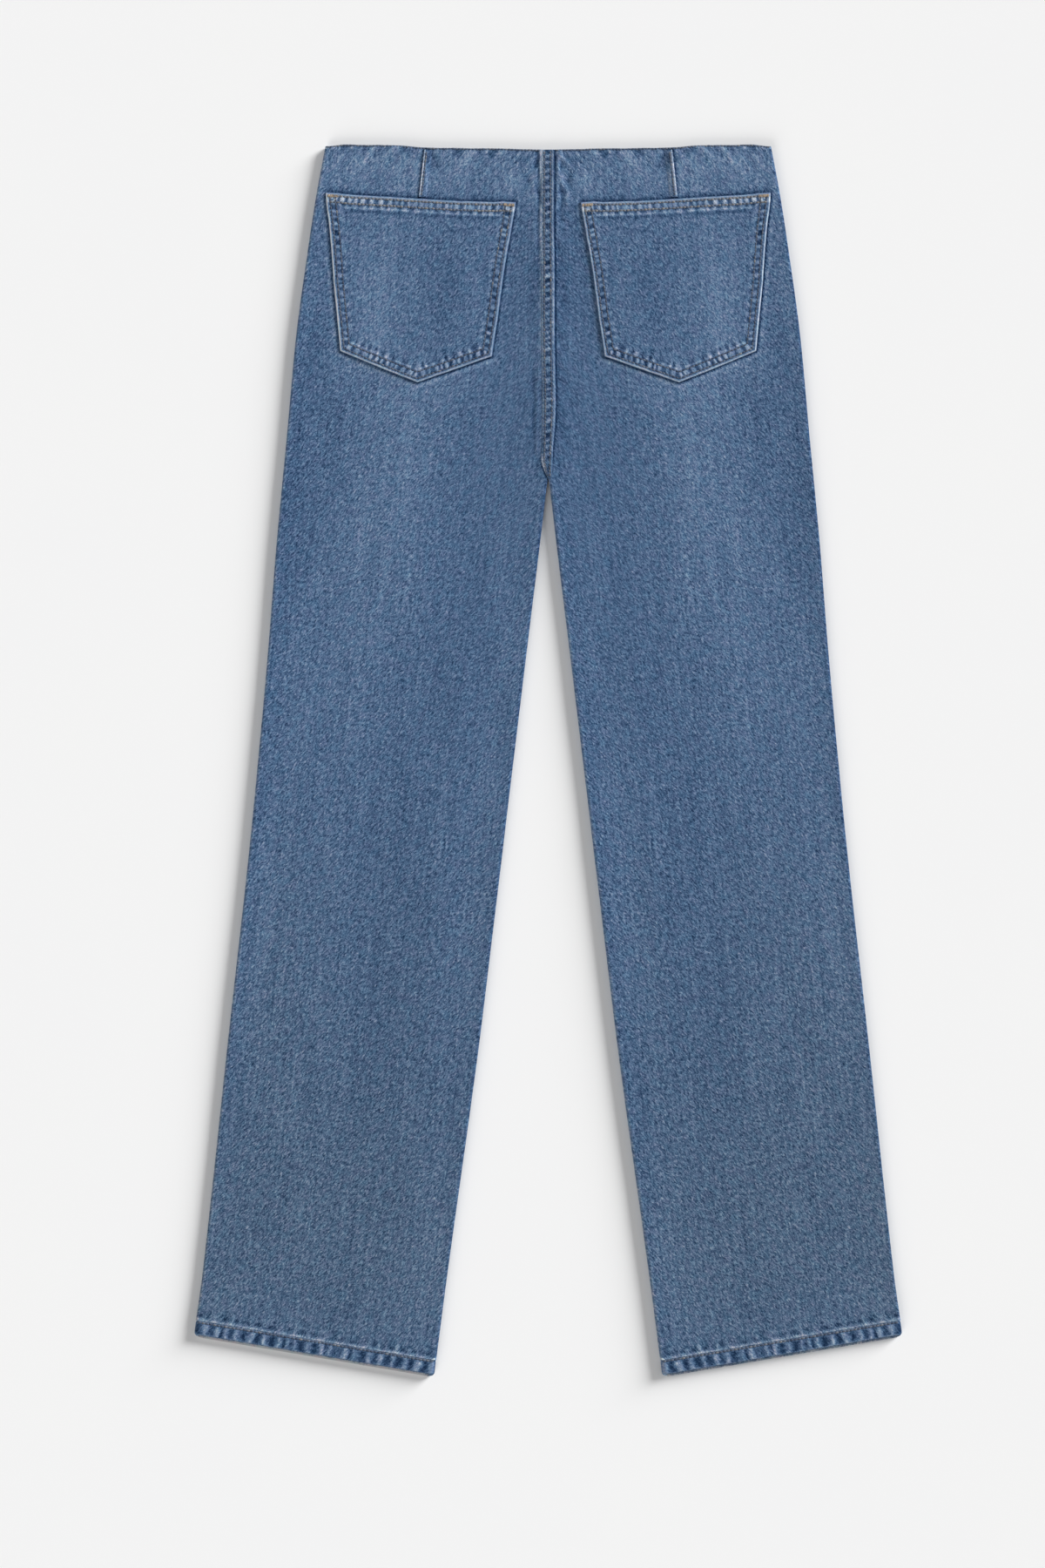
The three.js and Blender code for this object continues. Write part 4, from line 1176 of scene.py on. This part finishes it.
def inset_corner(first, second, depth_first, depth_second):
    """Where two of the pocket's stitch lines meet, each at its own depth."""
    a, along_a, in_a, _ = POCKET_LINES[first]
    b, along_b, in_b, _ = POCKET_LINES[second]
    a, b = a + in_a * depth_first, b + in_b * depth_second
    s, _ = np.linalg.solve(np.stack([along_a, -along_b], 1), b - a)
    return a + along_a * s


def pocket_surface(side):
    grid_out = np.arange(20, 195, 0.75)
    grid_y = np.arange(315, 485, 0.75)
    out, y = np.meshgrid(grid_out, grid_y, indexing="ij")
    thick, _, _ = pocket_look(side, out, y)
    face = seat_height(out, y) + SEAM_GAP + thick

    def surface(at_out, at_y):
        i = (at_out - grid_out[0]) / 0.75
        j = (at_y - grid_y[0]) / 0.75
        i0, j0 = int(i), int(j)
        ti, tj = i - i0, j - j0
        low = lerp(face[i0, j0], face[i0 + 1, j0], ti)
        return lerp(low, lerp(face[i0, j0 + 1], face[i0 + 1, j0 + 1], ti), tj)

    return surface


def pocket_row(line, start, end):
    """Points of one row beside one of the pocket's edges, bowed as the edge is."""
    a, along, inward, _ = POCKET_LINES[line]
    points = lerp(start, end, np.linspace(0, 1, 25)[:, None])
    return points + pocket_bow(line, (points - a) @ along)[:, None] * inward


def sew_pocket(stitches, tacks, side):
    surface = pocket_surface(side)
    for depths in (POCKET_ROW_1, POCKET_ROW_2):
        corners = [
            inset_corner(1, 0, depths[1], 1.4),
            inset_corner(1, 2, depths[1], depths[2]),
            inset_corner(2, 3, depths[2], depths[3]),
            inset_corner(3, 4, depths[3], depths[4]),
            inset_corner(4, 0, depths[4], 1.4),
        ]
        for line, (a, b) in enumerate(zip(corners, corners[1:]), 1):
            stitches.row(pocket_row(line, a, b), side, surface)
        ends = inset_corner(1, 0, 2.2, depths[0]), inset_corner(4, 0, 2.2, depths[0])
        stitches.row(pocket_row(0, *ends), side, surface, thick=1.8, shades=(0.45, 0.9))
    for line in (1, 4):
        start = inset_corner(line, 0, 1.2, 2.5) + [0, 0.7]
        end = inset_corner(line, 0, 9.8, 2.5) + [0, 0.7]
        bar_tack(tacks, start, end, side, surface, 2.4)


def bar_tack(tacks, start, end, side, surface, width):
    """Close zigzag over a short bar."""
    along = (end - start) / np.linalg.norm(end - start)
    across = np.array([-along[1], along[0]])
    number = 16
    for k in range(number):
        middle = lerp(start, end, (k + 0.5) / number)
        a, b = middle - across * width / 2, middle + across * width / 2 + along * 0.3
        tacks.row([a, b], side, surface, pitch=width, thick=0.9, sunk=-0.25, gap=0.0, shades=(0.35, 0.85))
    for offset in (-0.5, 0.0, 0.5):
        tacks.row([start + across * offset, end + across * offset], side, surface, pitch=3.0, thick=0.5,
                  sunk=-0.3, gap=0.05)


def sew():
    stitches, tacks = Stitches(500), Stitches(501)
    for _, side in SIDES:
        sew_pocket(stitches, tacks, side)
        # Waist edge
        out = np.linspace(6.4, 187.6, 120)
        y = WAIST + WAIST_RISE * out / WAIST_HALF - 0.75 + waist_swell(out)
        stitches.row(np.stack([out, y], 1), side, lambda o, h: EDGE_HEIGHT - 0.12, pitch=2.8, thick=1.4,
                     shades=(0.3, 0.7))
        # Dart
        t = np.linspace(0.02, 0.98, 12)
        fold = lerp(DART_TOP[0], DART_LOW[0], t) - 2.3
        stitches.row(np.stack([fold, lerp(DART_TOP[1], DART_LOW[1], t)], 1), side,
                     lambda o, h: seat_height(o, h) + SEAM_GAP + 0.68, thick=1.3, shades=(0.3, 0.7))
        # Hem
        rows = Rows(np.array([HEM + HEM_DEPTH - HEM_ROW]))
        ends = np.stack([rows.from_inner([2.0])[0], rows.from_outer([2.0])[0]])
        stitches.row(ends, side, lambda o, h: HEM_HEIGHT - 0.2, pitch=3.2, thick=1.6, shades=(0.2, 0.7))
        ends = np.stack([rows.from_inner([5.0])[0], rows.from_outer([5.0])[0]]) - [0, 0.3]
        stitches.row(ends, side, lambda o, h: 0.0, pitch=3.2, thick=0.5, sunk=0.12, up_sign=-1.0)
    # Centre seam
    for x in (-3.2, 2.1):
        y = np.linspace(WAIST - 1.0, SEAM_TIP + 2.5, 200)
        line = np.stack([seam_place(x, y), y], 1)
        stitches.row(line, 1, lambda o, h, x=x: sum(np.ravel(part)[0] for part in seam_surface(np.array([x]),
                     np.array([h]))) - 0.18, shades=(0.2, 0.7))
    front_rows(stitches)
    stitches.build("topstitching", THREAD, "topstitch")
    tacks.build("bartacks", TACK_THREAD, "bartack")


def front_rows(stitches):
    """Sewing on the hidden side: the fly's curved rows, the edge of the closed fly, and the front rise."""
    def under(out, y):
        return button_lift(out, y)

    options = {"sunk": 0.12, "up_sign": -1.0, "thick": 0.5}
    for inset in (0.0, 6.4):
        wide = 40.0 - inset
        angle = np.linspace(0, np.pi / 2, 20)
        curve = [(wide, 494.0), (wide, 372.0)]
        curve += [(wide * np.cos(a), 372.0 - (46.0 - inset) * np.sin(a)) for a in angle[1:-1]]
        stitches.row(curve + [(2.5, 326.0 + inset)], LEFT, under, **options)
    stitches.row([(2.4, 484.0), (2.4, 318.0)], LEFT, under, **options)
    for x in (2.4, 8.8):
        stitches.row([(x, 316.0), (x, 250.0)], RIGHT, under, **options)
    for _, side in SIDES:
        out = np.linspace(22, 178, 60)
        seat_y = WAIST - FRONT_DIP + (WAIST_RISE + FRONT_DIP - FRONT_SIDE_DIP) * out / WAIST_HALF - 2.0
        stitches.row(np.stack([out, seat_y], 1), side, under, **options)


backs = {side: back_panel(f"back_{name}", side) for name, side in SIDES}
fronts = {side: front_panel(f"front_{name}", side) for name, side in SIDES}
pockets = {side: pocket(f"pocket_{name}", side) for name, side in SIDES}
darts = {side: dart(f"dart_{name}", side) for name, side in SIDES}
hems = {side: hem(f"hem_{name}", side) for name, side in SIDES}
centre_seam = seat_seam()
fly_button()
sew()

FLOOR_Z = -0.3 * MM

# Floor, light and camera
paper = Nodes("floor")
grain = paper.noise(paper.mapping(paper.on_object(), (6, 6, 6)), 3.0)
shades = paper.ramp(grain, [(0.3, (0.898, 0.898, 0.9)), (0.7, (0.902, 0.902, 0.9))])
paper.put(paper.shader, {"Base Color": shades, "Roughness": 0.95, "Specular IOR Level": 0.0})
FLOOR_HALF = 6.0
corners = [(x * FLOOR_HALF, y * FLOOR_HALF, FLOOR_Z) for x, y in ((-1, -1), (1, -1), (1, 1), (-1, 1))]
floor = mesh_object("floor", np.array(corners), np.array([(0, 1, 2, 3)]), paper.material)

world = bpy.data.worlds.new("studio")
bpy.context.scene.world = world
world.use_nodes = True
sky = world.node_tree.nodes["Background"]
sky.inputs["Color"].default_value = (1, 1, 1, 1)
sky.inputs["Strength"].default_value = SKY_SHARE


def sun(name, azimuth, elevation, share, spread):
    """Soft distant light. share is its part of the light on the floor; azimuth is clockwise from +Y."""
    data = bpy.data.lights.new(name, "SUN")
    data.energy = share * math.pi / math.sin(math.radians(elevation))
    data.angle = math.radians(spread)
    made = bpy.data.objects.new(name, data)
    a, e = math.radians(azimuth), math.radians(elevation)
    towards = np.array([math.sin(a) * math.cos(e), math.cos(a) * math.cos(e), math.sin(e)])
    made.rotation_mode = "QUATERNION"
    made.rotation_quaternion = Vector(-towards).to_track_quat("-Z", "Y")
    made.location = towards * 3
    bpy.context.scene.collection.objects.link(made)


sun("key", KEY_AZIMUTH, KEY_ELEVATION, KEY_SHARE, 28)
sun("fill", 210, 27, 0.18, 40)
sun("top", 30, 72, 0.03, 60)

CAMERA_HEIGHT = 3.2
PIXEL = 0.737 * MM
ORIGIN_PIXEL = (629, 873)
MIDDLE_PIXEL = (599.5, 899.5)
camera_data = bpy.data.cameras.new("camera")
camera_data.sensor_width = 36
camera_data.lens = 36 * (CAMERA_HEIGHT - EDGE_HEIGHT * MM) / (1800 * PIXEL)
camera = bpy.data.objects.new("camera", camera_data)
camera.location = ((MIDDLE_PIXEL[0] - ORIGIN_PIXEL[0]) * PIXEL, (ORIGIN_PIXEL[1] - MIDDLE_PIXEL[1]) * PIXEL,
                   CAMERA_HEIGHT)
bpy.context.scene.collection.objects.link(camera)
bpy.context.scene.camera = camera
bpy.context.scene.view_settings.view_transform = "Standard"
